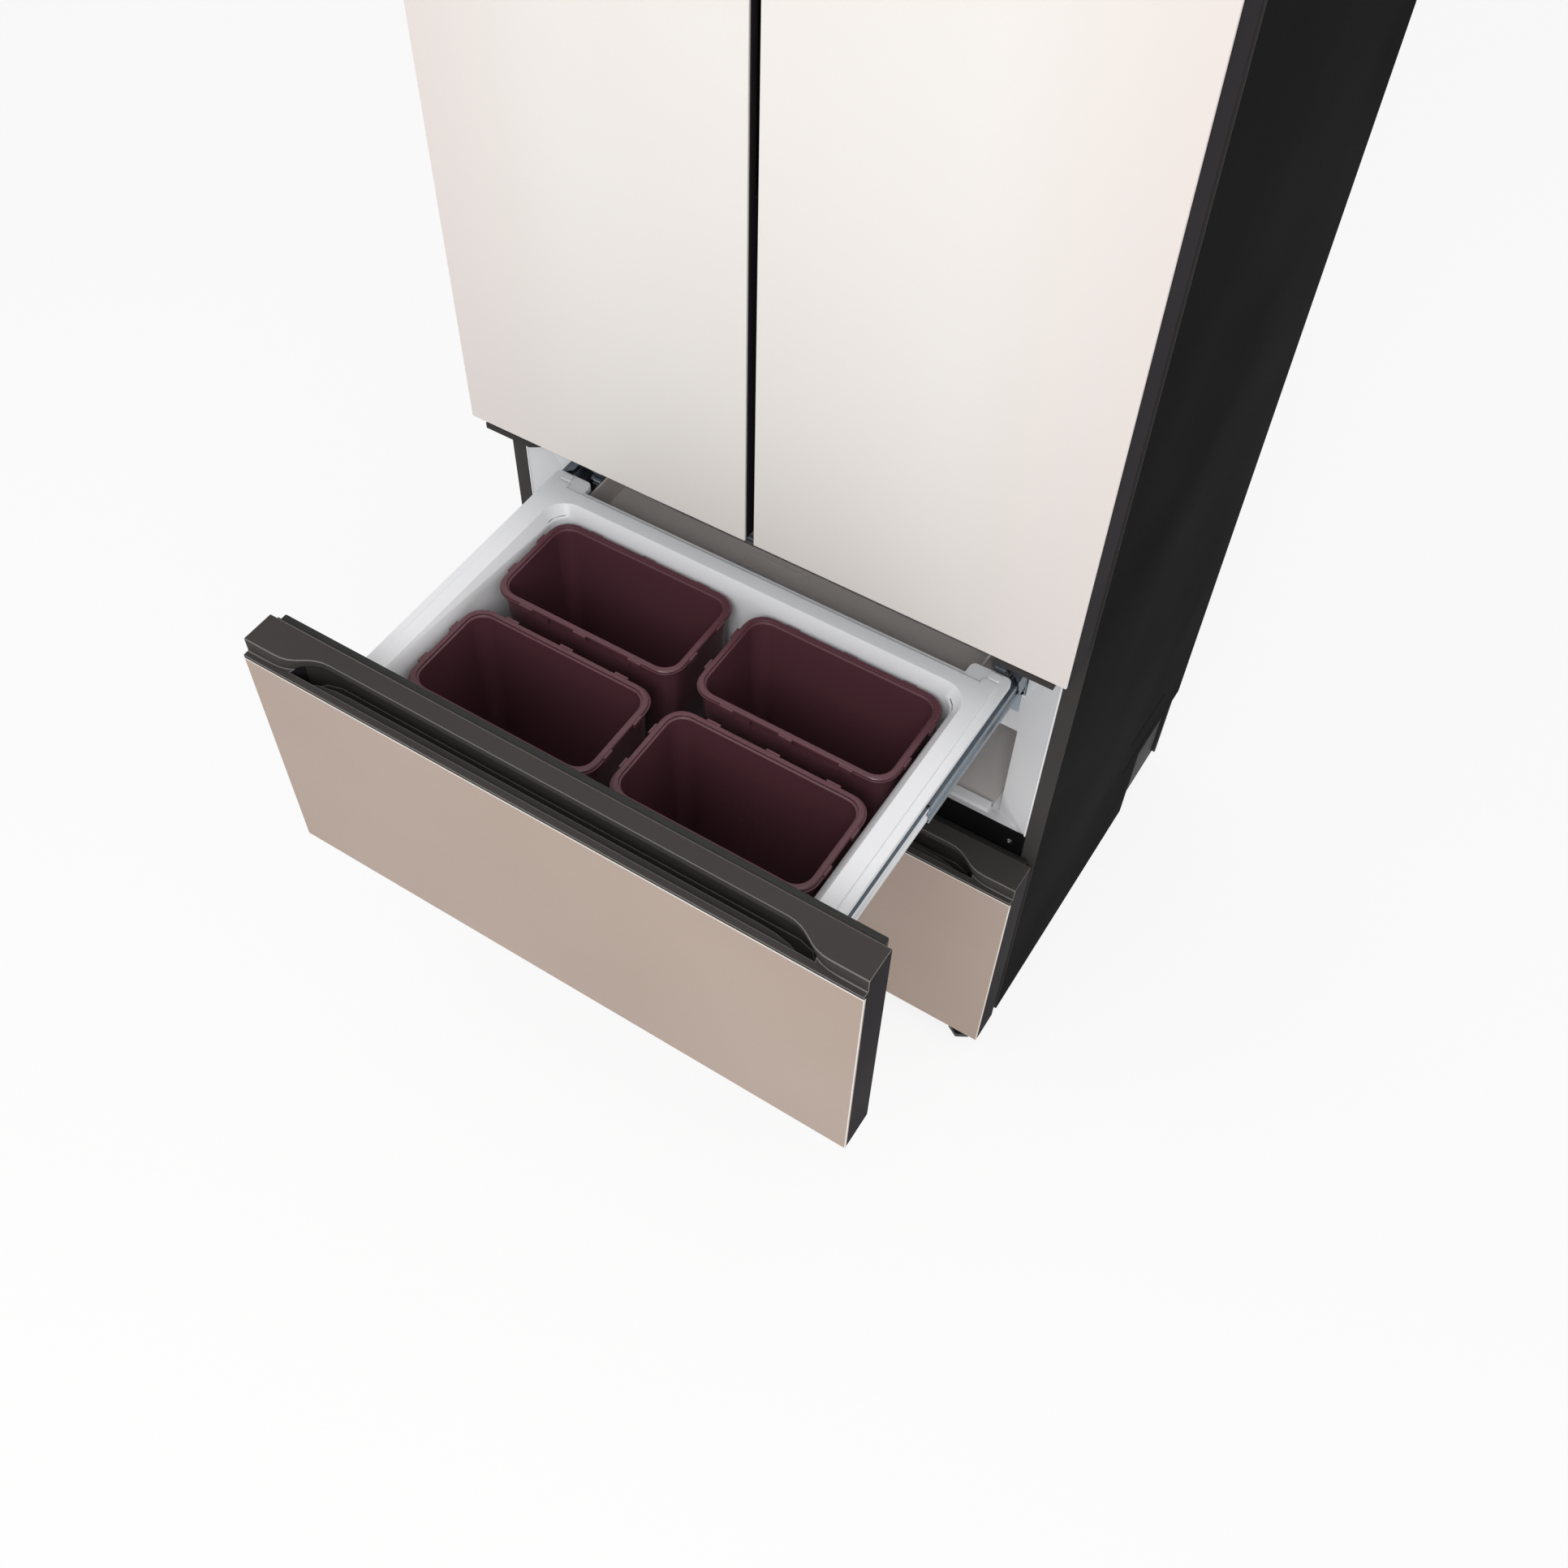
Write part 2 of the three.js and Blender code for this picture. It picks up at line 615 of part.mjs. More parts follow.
// Level loop in front of the cap's face, which curves back from each end to the pocket
function faceLoop(slant, z) {
  const steps = 9;
  const start = half - bendStart + slant;
  const end = half - bendEnd + slant;
  const middle = (start + end) / 2;
  const right = [];
  for (let i = 0; i <= steps; i += 1) {
    const t = i / steps;
    const x = start * (1 - t) ** 3 + 3 * middle * t * (1 - t) + end * t ** 3;
    const y = capSetBack * (1 - t) ** 2 * (1 + 2 * t) + pocketSetBack * t ** 2 * (3 - 2 * t);
    right.push([x, y]);
  }
  const left = right.map(([x, y]) => [-x, y]).reverse();
  const corners = [[-half - 1, -2 * pocketSetBack], [half + 1, -2 * pocketSetBack], [half + 1, capSetBack]];
  const loop = [...corners, ...right, ...left, [-half - 1, capSetBack]];
  return loop.map(([x, y]) => [x, y, z]);
}

// Moulded frame of a drawer front. The pocket is undercut behind the curved face, and a shelf lies behind the trim.
function handleFrame(height) {
  const panelTop = -capRise;
  const trimTop = panelTop + trimHeight;
  const tip = half - bendStart - 17;
  const lip = [[tip - 16.5, trimDepth], [tip - 23.5, 14], [tip - 33, 18], [tip - 54, 21.7], [tip - 75, lipSetBack]];
  const mirrorPoints = (points) => points.map(([u, v]) => [-u, v]).reverse();
  let body = box(-half, half, panelThick + seatGap, frontDepth, -height, 0);
  body = body.add(box(-half, half, 0, frontDepth - 1, panelTop + seatGap, trimTop));
  body = body.subtract(loft([faceLoop(bendSlant, trimTop), faceLoop(0, 0.5)]));
  const shelf = prismZ(outline([...lip, ...mirrorPoints(lip)]), -shelfDrop, trimTop + 0.5);
  const rearEdge = [[tip, trimDepth], [tip - 6, 26], [tip - 18, 39], [tip - 36, pocketBack]];
  const wellRight = [...lip.slice().reverse(), ...rearEdge];
  const well = prismZ(outline([...wellRight, ...mirrorPoints(wellRight)]), -pocketDepth, -capThick);
  const brow = [[tip, trimTop + 0.5], [tip - 8, trimTop + 5], [tip - 20, -capThick - 1.5], [tip - 34, -capThick]];
  const browRight = [[tip + 1, -pocketDepth], ...brow];
  const limit = prismY(outline([...browRight, ...mirrorPoints(browRight)]), 0, frontDepth);
  return body.subtract(shelf).subtract(well.intersect(limit));
}

function ring(outerBox, wide, y0, y1) {
  const [x0, x1, z0, z1] = outerBox;
  return box(x0, x1, y0, y1, z0, z1).subtract(box(x0 + wide, x1 - wide, y0 - 1, y1 + 1, z0 + wide, z1 - wide));
}

// Tub with its wide rim, side rail covers and the two ears behind them
function tub() {
  const top = -rimDrop;
  const bottom = top - tubHeight;
  const rimUnder = top - tubRimThick;
  const bodyHalf = tubHalf + tubWall;
  const outerFront = tubFront - tubWall;
  const outerBack = tubBack + tubWall;
  const lowHalf = bodyHalf - tubTaper;
  let body = loft([
    cornerLoop(-lowHalf, lowHalf, outerFront + tubTaper, outerBack - tubTaper, tubRadius, bottom),
    cornerLoop(-bodyHalf, bodyHalf, outerFront, outerBack, tubRadius, rimUnder + 1),
  ]);
  const rimFront = frontDepth + innerPanelThick + 2 * seatGap + tubWall;
  const rimBack = outerBack + rimOverhang;
  const coverOuter = railCoverOuter - railStripWidth;
  body = body.add(box(-coverOuter, coverOuter, rimFront, rimBack, rimUnder, top));
  body = body.add(box(-coverOuter, coverOuter, rimBack - 1, rimBack + rimStepWidth, rimUnder, top - rimStepDrop));
  const earBack = rimBack + earLength;
  const coverBack = earBack - coverSetBack;
  const earShape = roundedRect(railCoverOuter - earWidth, railCoverOuter, rimFront, earBack, earRadius);
  const ear = prismZ(earShape, rimUnder, top - railStripDrop, 3);
  const cover = box(railCoverInner, coverOuter, rimFront, coverBack, rimUnder + 1, top);
  const skirt = box(railCoverInner, slideInner - 2, rimFront, coverBack, -railCoverDrop + seatGap, rimUnder + 1);
  const clipShape = roundedRect(railCoverInner + 3, coverOuter - 1, coverBack + 2, earBack - 4, 3);
  const clip = prismZ(clipShape, rimUnder + 1, top, 3);
  const sidePiece = ear.add(cover).add(skirt).add(clip);
  body = body.add(sidePiece).add(mirrored(sidePiece));
  const insideLow = lowHalf - tubWall;
  const insideRadius = tubRadius - tubWall;
  const inside = loft([
    cornerLoop(-insideLow, insideLow, tubFront + tubTaper, tubBack - tubTaper, insideRadius, bottom + tubWall),
    cornerLoop(-tubHalf, tubHalf, tubFront, tubBack, insideRadius, top - tubMouthDrop),
    cornerLoop(-railCoverInner, railCoverInner, tubFront - 1, tubBack + mouthFlare, tubRadius + 4, top + 0.5),
  ]);
  return body.subtract(inside);
}

function container(x, y) {
  const top = -rimDrop - containerRimDrop;
  const bottom = top - containerHeight;
  const halfX = containerWidth / 2;
  const halfY = containerDepth / 2;
  const loop = (inset, z, radius) => {
    const reachX = halfX - inset;
    const reachY = halfY - inset;
    return cornerLoop(x - reachX, x + reachX, y - reachY, y + reachY, radius, z);
  };
  const wallInset = containerRimLip + containerTaper;
  const rimLow = top - containerRimThick;
  let body = loft([
    loop(wallInset + 3, bottom, containerRadius - 10),
    loop(wallInset, bottom + 12, containerRadius - 6),
    loop(containerRimLip, rimLow, containerRadius - 2),
  ]);
  body = body.add(loft([
    loop(1, rimLow - 0.5, containerRadius),
    loop(0, rimLow + 2, containerRadius),
    loop(0, top - 1.5, containerRadius),
    loop(1.5, top, containerRadius),
  ]));
  const tabReach = containerRimLip + 3;
  const tab = (centreX, centreY, wideX, wideY) => {
    const low = rimLow - containerTabDrop;
    const high = top - containerRimThick / 2;
    return box(centreX - wideX / 2, centreX + wideX / 2, centreY - wideY / 2, centreY + wideY / 2, low, high);
  };
  for (const along of [-0.45, 0.45]) {
    for (const edge of [-1, 1]) {
      const edgeY = y + edge * (halfY - tabReach / 2);
      body = body.add(tab(x + along * halfX, edgeY, containerTabWidth, tabReach));
      const edgeX = x + edge * (halfX - tabReach / 2);
      body = body.add(tab(edgeX, y + along * halfY, tabReach, containerTabWidth / 2));
    }
  }
  const inset = wallInset + containerWall;
  const step = containerRimLip + containerWall + 2;
  body = body.subtract(loft([
    loop(inset + 3, bottom + containerWall, containerRadius - 13),
    loop(inset, bottom + 14, containerRadius - 9),
    loop(step, top - 3, containerRadius - 6),
  ]));
  return body.subtract(loft([
    loop(step, top - 3.5, containerRadius - 6),
    loop(step - 2.5, top - 3, containerRadius - 4),
    loop(step - 2.5, top + 1, containerRadius - 4),
  ]));
}

// Steel carriage: the moving slide members, joined behind the tub by a deck that also carries the shaft
function carriage() {
  const centreZ = -slideDrop;
  const back = slideBack;
  const front = frontDepth + innerPanelThick + 2 * seatGap;
  const plateInner = middleWeb - middleDepth - slideGap - 2;
  const plateTop = -railCoverDrop - slideSheet;
  const plate = box(plateInner, plateInner + 2, front, back, centreZ - innerHalfHeight - 2, plateTop + slideSheet);
  const beadTop = slideBeadHalf - slideBead;
  const grooved = innerWeb - slideBead;
  const section = outline([
    [plateInner + 1, centreZ - innerHalfHeight], [innerWeb, centreZ - innerHalfHeight],
    [innerWeb, centreZ - slideBeadHalf], [grooved, centreZ - beadTop], [grooved, centreZ + beadTop],
    [innerWeb, centreZ + slideBeadHalf], [innerWeb, centreZ + innerHalfHeight],
    [plateInner + 1, centreZ + innerHalfHeight],
  ]);
  const rail = prismY(section, front, back);
  const shelfTop = box(railCoverInner + 6, plateInner + 2, front, tubBack, plateTop, plateTop + slideSheet);
  const deckTop = -rimDrop - deckDrop;
  const deckFront = back - deckLength;
  const earTop = -pinionDrop + shaftRadius + 6;
  const ear = box(deckHalf - earThick, deckHalf, deckFront, back, deckTop - deckThick, earTop);
  const strapLow = -pinionDrop - pitchRadius + toothAddendum + 5;
  const strap = box(deckHalf - earThick, plateInner + 1, deckFront, deckFront + strapLength, strapLow, strapLow + deckThick);
  const bore = cylinder('x', shaftRadius + slideGap, 10, [deckHalf, pinionY, -pinionDrop], 16);
  const sidePiece = plate.add(rail).add(shelfTop).add(ear).add(strap).subtract(bore);
  const deck = box(-deckHalf, deckHalf, deckFront, back, deckTop - deckThick, deckTop);
  return sidePiece.add(mirrored(sidePiece)).add(deck);
}

// Involute pinion outline about (0, 0) in (y, z), with a tooth pointing down
function pinionOutline() {
  const base = pitchRadius * Math.cos(pressureAngle);
  const tip = pitchRadius + toothAddendum;
  const root = pitchRadius - toothDedendum;
  const involute = (angle) => Math.tan(angle) - angle;
  const halfAt = (radius) => {
    const inside = Math.acos(Math.min(1, base / radius));
    return Math.PI / (2 * gearTeeth) - backlash / (4 * pitchRadius) + involute(pressureAngle) - involute(inside);
  };
  const radii = [root, base, pitchRadius, tip];
  const points = [];
  for (let tooth = 0; tooth < gearTeeth; tooth += 1) {
    const middle = -Math.PI / 2 + tooth * 2 * Math.PI / gearTeeth;
    const rising = radii.map((radius) => [radius, middle - halfAt(Math.max(radius, base))]);
    const falling = radii.map((radius) => [radius, middle + halfAt(Math.max(radius, base))]).reverse();
    for (const [radius, angle] of [...rising, ...falling]) {
      points.push([radius * Math.cos(angle), radius * Math.sin(angle)]);
    }
  }
  return outline(points);
}

function syncShaft() {
  const reach = rackOuter + 2;
  let body = cylinder('x', shaftRadius, 2 * reach, [0, pinionY, -pinionDrop], 16);
  const pinion = prismX(pinionOutline(), ledgeInner + 0.5, rackOuter).translate([0, pinionY, -pinionDrop]);
  body = body.add(pinion).add(mirrored(pinion));
  return body;
}

// One drawer, all its pieces with their levels from the drawer's top
function addDrawer(prefix, height, drawerTop, opened) {
  const front = new THREE.Group();
  front.position.set(0, -opened, drawerTop);
  model.add(front);
  const panel = box(-half, half, 0, panelThick, -height, -capRise);
  const innerFront = frontDepth + seatGap;
  const innerBack = innerFront + innerPanelThick;
  const innerPanel = box(-half + 8, half - 8, innerFront, innerBack, -height + 1, -3);
  const gasketFront = innerBack + seatGap;
  const gasketBox = [-half + 10, half - 10, -height + 2, -5];
  const gasket = ring(gasketBox, gasketWidth, gasketFront, gasketFront + gasketThick);
  place(front, `${prefix}_drawer_panel`, panel, taupePanel);
  place(front, `${prefix}_drawer_handle_frame`, handleFrame(height), charcoal);
  place(front, `${prefix}_drawer_inner_panel`, innerPanel, whiteLiner);
  place(front, `${prefix}_drawer_gasket`, gasket, rubber);
  place(front, `${prefix}_drawer_tub`, tub(), whiteLiner);
  place(front, `${prefix}_drawer_carriage`, carriage(), steel);
  place(front, `${prefix}_sync_shaft`, syncShaft(), steel);
  const sides = [['left', -1], ['right', 1]];
  for (const [word, side] of sides) {
    place(model, `${prefix}_outer_slide_${word}`, outerSlide(side, drawerTop, pinionY - opened), steel);
    const middle = place(model, `${prefix}_middle_slide_${word}`, middleSlide(side, drawerTop), steel);
    middle.position.y = -opened / 2;
  }
  return front;
}

// Doors: built for the right side, hinge at the outer edge, and mirrored for the left
function addDoor(word, side) {
  const inner = centreGap / 2;
  const turn = (solid) => (side > 0 ? solid : mirrored(solid));
  const panel = box(inner, half, 0, panelThick, doorBottom, doorTop);
  let frame = box(inner, half, panelThick + seatGap, frontDepth, doorBottom, doorTop);
  for (const z of [doorBottom, doorTop]) {
    const bore = cylinder('z', pinRadius + boreGap, 2 * (pinReach + 2), [half - pinInset, pinDepthY, z], 20);
    frame = frame.subtract(bore);
  }
  frame = frame.subtract(box(inner - 1, inner + gripDepth, 16, 40, doorBottom + gripLow, doorBottom + gripHigh));
  const linerFaceY = frontDepth + seatGap;
  const linerBack = linerFaceY + doorLinerThick;
  let liner = box(inner + 8, half - 8, linerFaceY, linerBack, doorBottom + 4, doorTop - 4);
  const dikeX0 = mullionHalf + dikeClear;
  const dikeX1 = half - doorSideWall - dikeClear;
  const dikeLow = cavityLow + dikeClear;
  const dikeHigh = cavityHigh - dikeClear;
  liner = liner.add(ring([dikeX0, dikeX1, dikeLow, dikeHigh], dikeWall, linerBack - 1, linerBack + dikeHeight));
  for (const level of binLevels) {
    const low = doorBottom + level;
    const binX0 = dikeX0 + dikeWall;
    const binX1 = dikeX1 - dikeWall;
    const binBack = linerBack + binDepth;
    const bin = box(binX0 - 1, binX1 + 1, linerBack - 1, binBack, low, low + binHeight);
    const room = box(binX0 + binWall, binX1 - binWall, linerBack + 0.01, binBack - binWall, low + binWall, low + binHeight + 1);
    liner = liner.add(bin.subtract(room));
  }
  const gasketOuter = half - pinInset;
  const gasketY = linerBack + seatGap;
  const gasketBox = [mullionHalf - gasketWidth - 4, gasketOuter, cavityLow - gasketWidth, cavityHigh + gasketWidth];
  place(model, `${word}_door_panel`, turn(panel), creamPanel);
  place(model, `${word}_door_frame`, turn(frame), charcoal);
  place(model, `${word}_door_liner`, turn(liner), whiteLiner);
  place(model, `${word}_door_gasket`, turn(ring(gasketBox, gasketWidth - 1, gasketY, gasketY + gasketThick)), rubber);
}

// Hinge under a door: plate and flange on the centre frame, collar and pin up into the door
function lowerHinge() {
  const outer = half - pinInset + hingePlateOuter;
  const inner = outer - hingePlateWidth;
  const front = pinDepthY - hingePlateReach;
  const top = upperTop + hingePlateRise;
  const back = frontToCabinet - seatGap;
  const shape = outline([[inner, front + 8], [inner + 12, front], [outer, front], [outer, back], [inner, back]]);
  const plate = prismZ(shape, top - hingePlateThick, top);
  const flange = box(inner, outer, back - 3, back, top - hingePlateThick, doorBottom - 1);
  const pinX = half - pinInset;
  const collarTop = doorBottom - seatGap;
  const collar = cylinder('z', pinRadius + 4, collarTop - top + 1, [pinX, pinDepthY, (collarTop + top - 1) / 2], 20);
  const pinTop = doorBottom + pinReach;
  const pin = cylinder('z', pinRadius, pinTop - top, [pinX, pinDepthY, (pinTop + top) / 2], 20);
  return plate.add(flange).add(collar).add(pin);
}

function upperHinge() {
  const outer = half - pinInset + pinRadius + 7;
  const inner = outer - topHingeWidth;
  const low = caseTop + seatGap;
  const high = low + topHingeThick;
  const front = pinDepthY - 12;
  const back = front + topHingeLength;
  const nose = [[inner + 14, front], [outer - 6, front], [outer, front + 10]];
  const shape = outline([...nose, [outer, back], [inner, back], [inner, front + 20]]);
  const plate = prismZ(shape, low, high);
  const pinLow = doorTop - pinReach;
  const pin = cylinder('z', pinRadius, high - pinLow, [half - pinInset, pinDepthY, (high + pinLow) / 2], 20);
  return plate.add(pin);
}

function hingeCover() {
  const across = half - hingeCoverInset;
  const low = caseTop + seatGap;
  const high = caseTop + hingeCoverHeight;
  const wall = 2.5;
  const front = hingeCoverInset + 2;
  const shape = roundedRect(-across, across, front, hingeCoverDepth, 10);
  const insideShape = roundedRect(-across + wall, across - wall, front + wall, hingeCoverDepth - wall, 8);
  return prismZ(shape, low, high, 3).subtract(prismZ(insideShape, low - 1, high - wall, 3));
}

// Base, feet and rollers
function baseFrame() {
  const sideOuter = half - sideRecess;
  const frontHalf = openHalf - seatGap;
  const kickBack = frontToCabinet + caseWall;
  const kickTop = floorLift + drawerLandBottom;
  let body = box(-sideOuter, sideOuter, kickBack + seatGap, rear - caseWall - seatGap, baseBottom, baseTop);
  body = body.add(box(-frontHalf, frontHalf, frontToCabinet, kickBack, baseBottom, kickTop));
  body = body.add(box(-frontHalf, frontHalf, frontToCabinet, linerFront + 1, baseBottom, baseTop));
  const footX = half - footInset;
  const nose = box(footX - 30, half - 6, footY - 12, frontToCabinet + caseWall, baseBottom, baseTop);
  const noseHole = cylinder('z', stemRadius + seatGap, 20, [footX, footY, baseTop], 18);
  body = body.add(nose.subtract(noseHole)).add(mirrored(nose.subtract(noseHole)));
  body = body.add(both(sideOuter - 3, sideOuter, machineFront + 3, linerRear, baseTop - 1, machineTop - seatGap));
  const wheelRoom = both(rollerX - rollerWidth / 2 - 2, rollerX + rollerWidth / 2 + 2,
    rollerY - rollerRadius - 4, rollerY + rollerRadius + 4, baseBottom - 1, baseTop + 1);
  body = body.subtract(wheelRoom);
  for (const cheekX of [rollerX - rollerWidth / 2 - 5, rollerX + rollerWidth / 2 + 2]) {
    body = body.add(both(cheekX, cheekX + 3, rollerY - 16, rollerY + 16, rollerRadius - 10, rollerRadius + 12));
  }
  const axleHole = cylinder('x', axleRadius + seatGap, rollerWidth + 12, [rollerX, rollerY, rollerRadius], 14);
  return body.subtract(axleHole).subtract(mirrored(axleHole));
}

function foot(side) {
  const x = side * (half - footInset);
  const pad = cylinder('z', footRadius, 9, [x, footY, 4.5], 6);
  const stem = cylinder('z', stemRadius, floorLift - 2 - 8, [x, footY, (floorLift - 2 + 8) / 2], 18);
  const collarTop = baseBottom - seatGap;
  const collar = cylinder('z', stemRadius + 5, collarTop - 8, [x, footY, (collarTop + 8) / 2], 18);
  return pad.add(stem).add(collar);
}

function roller(side) {
  const x = side * rollerX;
  const edge = rollerWidth / 2;
  const tyreShape = [[0, -edge], [rollerRadius - 2, -edge], [rollerRadius, -edge + 2],
    [rollerRadius, edge - 2], [rollerRadius - 2, edge], [0, edge]];
  const geometry = new THREE.LatheGeometry(tyreShape.map(([u, v]) => new THREE.Vector2(u, v)), 28);
  geometry.rotateZ(Math.PI / 2);
  geometry.translate(x, rollerY, rollerRadius);
  const axle = cylinder('x', axleRadius, rollerWidth + 9, [x, rollerY, rollerRadius], 14);
  return solidFrom(geometry).add(axle);
}

// Machine compartment
function compressor() {
  const low = baseTop + seatGap;
  const x = compressorInset - half;
  const y = (machineFront + linerRear) / 2;
  const shoulder = compressorHeight * 0.77;
  const crown = compressorHeight * 0.93;
  const profile = [[0, 0], [compressorRadius * 0.82, 0], [compressorRadius, compressorHeight * 0.12],
    [compressorRadius, shoulder], [compressorRadius * 0.8, crown], [compressorRadius * 0.42, compressorHeight],
    [0, compressorHeight]];
  const geometry = new THREE.LatheGeometry(profile.map(([u, v]) => new THREE.Vector2(u, v)), 24);
  geometry.rotateX(Math.PI / 2);
  geometry.translate(x, y, low + 6);
  const footDeep = compressorFoot * 0.6;
  const plate = box(x - compressorFoot, x + compressorFoot, y - footDeep, y + footDeep, low, low + 8);
  const boxY = y - compressorRadius * 0.9;
  const capPlace = [x + compressorRadius * 0.4, boxY, low + compressorHeight * 0.4];
  const caps = cylinder('y', compressorRadius * 0.3, compressorRadius * 0.4, capPlace, 14);
  return solidFrom(geometry).add(plate).add(caps);
}

// Condenser coil with its fins, and the fan's shroud on its side
function condenser() {
  const low = baseTop + seatGap;
  const shroudX = fanX + 14;
  const y0 = machineFront + 14;
  const y1 = linerRear - 12;
  const high = low + 2 * fanRadius + 24;
  const middleY = (y0 + y1) / 2;
  const middleZ = (low + high) / 2;
  let body = box(shroudX, shroudX + 3, y0, y1, low, high);
  body = body.subtract(cylinder('x', fanRadius + 4, 20, [shroudX, middleY, middleZ], 32));
  body = body.add(box(shroudX, shroudX + 3, y0 + 4, y1 - 4, middleZ - 5, middleZ + 5));
  body = body.add(cylinder('x', 15, 24, [shroudX + 15, middleY, middleZ], 18));
  const finCount = 8;
  const finPitch = 21;
  for (let i = 1; i <= finCount; i += 1) {
    const x = shroudX + 24 + i * finPitch;
    body = body.add(box(x, x + 2, y0 + 10, y1 - 10, low, high - 8));
  }
  const length = 24 + finCount * finPitch + 8;
  const reachY = (y1 - y0) / 2 - tubeInset;
  const reachZ = (high - low) / 2 - tubeInset;
  for (const [sideY, sideZ] of [[-1, -1], [-1, 1], [1, -1], [1, 1]]) {
    const centre = [shroudX + length / 2, middleY + sideY * reachY, middleZ + sideZ * reachZ];
    body = body.add(cylinder('x', 4, length, centre, 8));
  }
  return body;
}

function fanRotor() {
  const low = baseTop + seatGap;
  const y = (machineFront + 14 + linerRear - 12) / 2;
  const z = (low + low + 2 * fanRadius + 24) / 2;
  let body = cylinder('x', 17, 20, [fanX + 3.4, y, z], 20);
  const bladeCount = 5;
  for (let i = 0; i < bladeCount; i += 1) {
    const geometry = new THREE.BoxGeometry(2, 30, fanRadius - 12);
    geometry.rotateZ(0.5);
    geometry.translate(0, 0, (fanRadius + 12) / 2);
    geometry.rotateX(i * 2 * Math.PI / bladeCount);
    geometry.translate(fanX + 3.4, y, z);
    body = body.add(solidFrom(geometry));
  }
  return body;
}

function machineCover() {
  let cover = box(-linerHalf, linerHalf, rear - caseWall, rear, baseBottom, machineTop);
  const columns = 4;
  const rows = 7;
  const pitchX = 150;
  const pitchZ = 20;
  for (let i = 0; i < columns; i += 1) {
    for (let j = 0; j < rows; j += 1) {
      const x = (i - (columns - 1) / 2) * pitchX;
      const z = baseBottom + 60 + j * pitchZ;
      cover = cover.subtract(box(x - 60, x + 60, rear - caseWall - 1, rear + 1, z - 3, z + 3));
    }
  }
  return cover;
}

place(model, 'outer_case', outerCase(), casePaint);
place(model, 'back_panel', backPanel(), casePaint);
place(model, 'centre_frame', centreFrame(), framePaint);
place(model, 'divider_rail', dividerRail(), framePaint);
place(model, 'base_frame', baseFrame(), framePaint);
place(model, 'upper_liner', upperLiner(), whiteLiner);
place(model, 'upper_drawer_liner',
  drawerLiner(lowerSplit, upperSplit - seatGap, upperBottom, upperTop, upperFloor, cavityBack, upperFloor), whiteLiner);
place(model, 'lower_drawer_liner', lowerLiner(), whiteLiner);
place(model, 'upper_cooling_plate', coolingPlate(upperFloor, cavityBack), coolingMetal);
place(model, 'machine_cover', machineCover(), blackPart);
place(model, 'compressor', compressor(), blackPart);
place(model, 'condenser', condenser(), steel);
place(model, 'fan_rotor', fanRotor(), blackPart);
place(model, 'hinge_cover', hingeCover(), charcoal);
for (const [word, side] of [['left', -1], ['right', 1]]) {
  const lower = side > 0 ? lowerHinge() : mirrored(lowerHinge());
  const upper = side > 0 ? upperHinge() : mirrored(upperHinge());
  place(model, `${word}_duct_cover`, ductCover(side), coolingMetal);
  place(model, `${word}_shelf`, shelf(side), glass);
  place(model, `${word}_lower_hinge`, lower, charcoal);
  place(model, `${word}_upper_hinge`, upper, steel);
  place(model, `${word}_foot`, foot(side), blackPart);
  place(model, `${word}_roller`, roller(side), blackPart);
  addDoor(word, side);
}

const upperDrawer = addDrawer('upper', upperFrontHeight, upperTop, drawerOpen);
addDrawer('lower', lowerFrontHeight, lowerTop, 0);
containerRows.forEach((y, row) => {
  for (const [word, side] of [['left', -1], ['right', 1]]) {
    place(upperDrawer, `container_${containerNames[row]}_${word}`, container(side * containerColumn, y), burgundy);
  }
});

// The origin is on the floor, under the middle of the whole object as it stands
model.position.set(0, -(rear - drawerOpen) / 2, 0);

export default model;
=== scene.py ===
import json
from math import radians
import bpy
from mathutils import Matrix, Vector

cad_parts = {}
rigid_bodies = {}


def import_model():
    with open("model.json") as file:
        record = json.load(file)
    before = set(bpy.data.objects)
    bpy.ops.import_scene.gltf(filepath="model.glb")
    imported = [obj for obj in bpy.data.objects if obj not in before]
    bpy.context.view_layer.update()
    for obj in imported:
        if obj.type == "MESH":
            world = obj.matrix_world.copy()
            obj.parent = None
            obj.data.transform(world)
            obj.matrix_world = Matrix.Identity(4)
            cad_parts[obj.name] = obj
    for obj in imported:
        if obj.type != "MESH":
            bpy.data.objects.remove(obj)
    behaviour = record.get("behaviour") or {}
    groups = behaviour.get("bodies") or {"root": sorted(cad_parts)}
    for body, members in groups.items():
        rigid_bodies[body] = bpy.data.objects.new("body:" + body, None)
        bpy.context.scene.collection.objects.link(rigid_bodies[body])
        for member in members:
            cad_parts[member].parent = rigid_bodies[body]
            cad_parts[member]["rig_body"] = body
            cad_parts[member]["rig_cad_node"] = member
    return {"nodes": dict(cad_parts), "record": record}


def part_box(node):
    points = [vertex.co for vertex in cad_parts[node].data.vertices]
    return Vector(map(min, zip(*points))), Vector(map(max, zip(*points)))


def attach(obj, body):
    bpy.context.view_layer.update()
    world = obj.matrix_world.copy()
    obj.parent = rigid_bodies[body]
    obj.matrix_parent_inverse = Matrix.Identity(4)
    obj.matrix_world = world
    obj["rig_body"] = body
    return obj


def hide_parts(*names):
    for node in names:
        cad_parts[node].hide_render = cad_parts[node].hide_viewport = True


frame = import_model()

nodes = frame["nodes"]
record = frame["record"]
bodyOf = {name: body for body, names in record["behaviour"]["bodies"].items() for name in names}
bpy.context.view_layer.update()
doorLine = -0.11075  # y of the closed door fronts
sides = ["left", "right"]
levels = ["upper", "lower"]  # of the drawers


# selecting, and going in and out of edit mode
def clearSelection():
    if bpy.context.object and bpy.context.object.mode != "OBJECT":
        bpy.ops.object.mode_set(mode="OBJECT")
    bpy.ops.object.select_all(action="DESELECT")


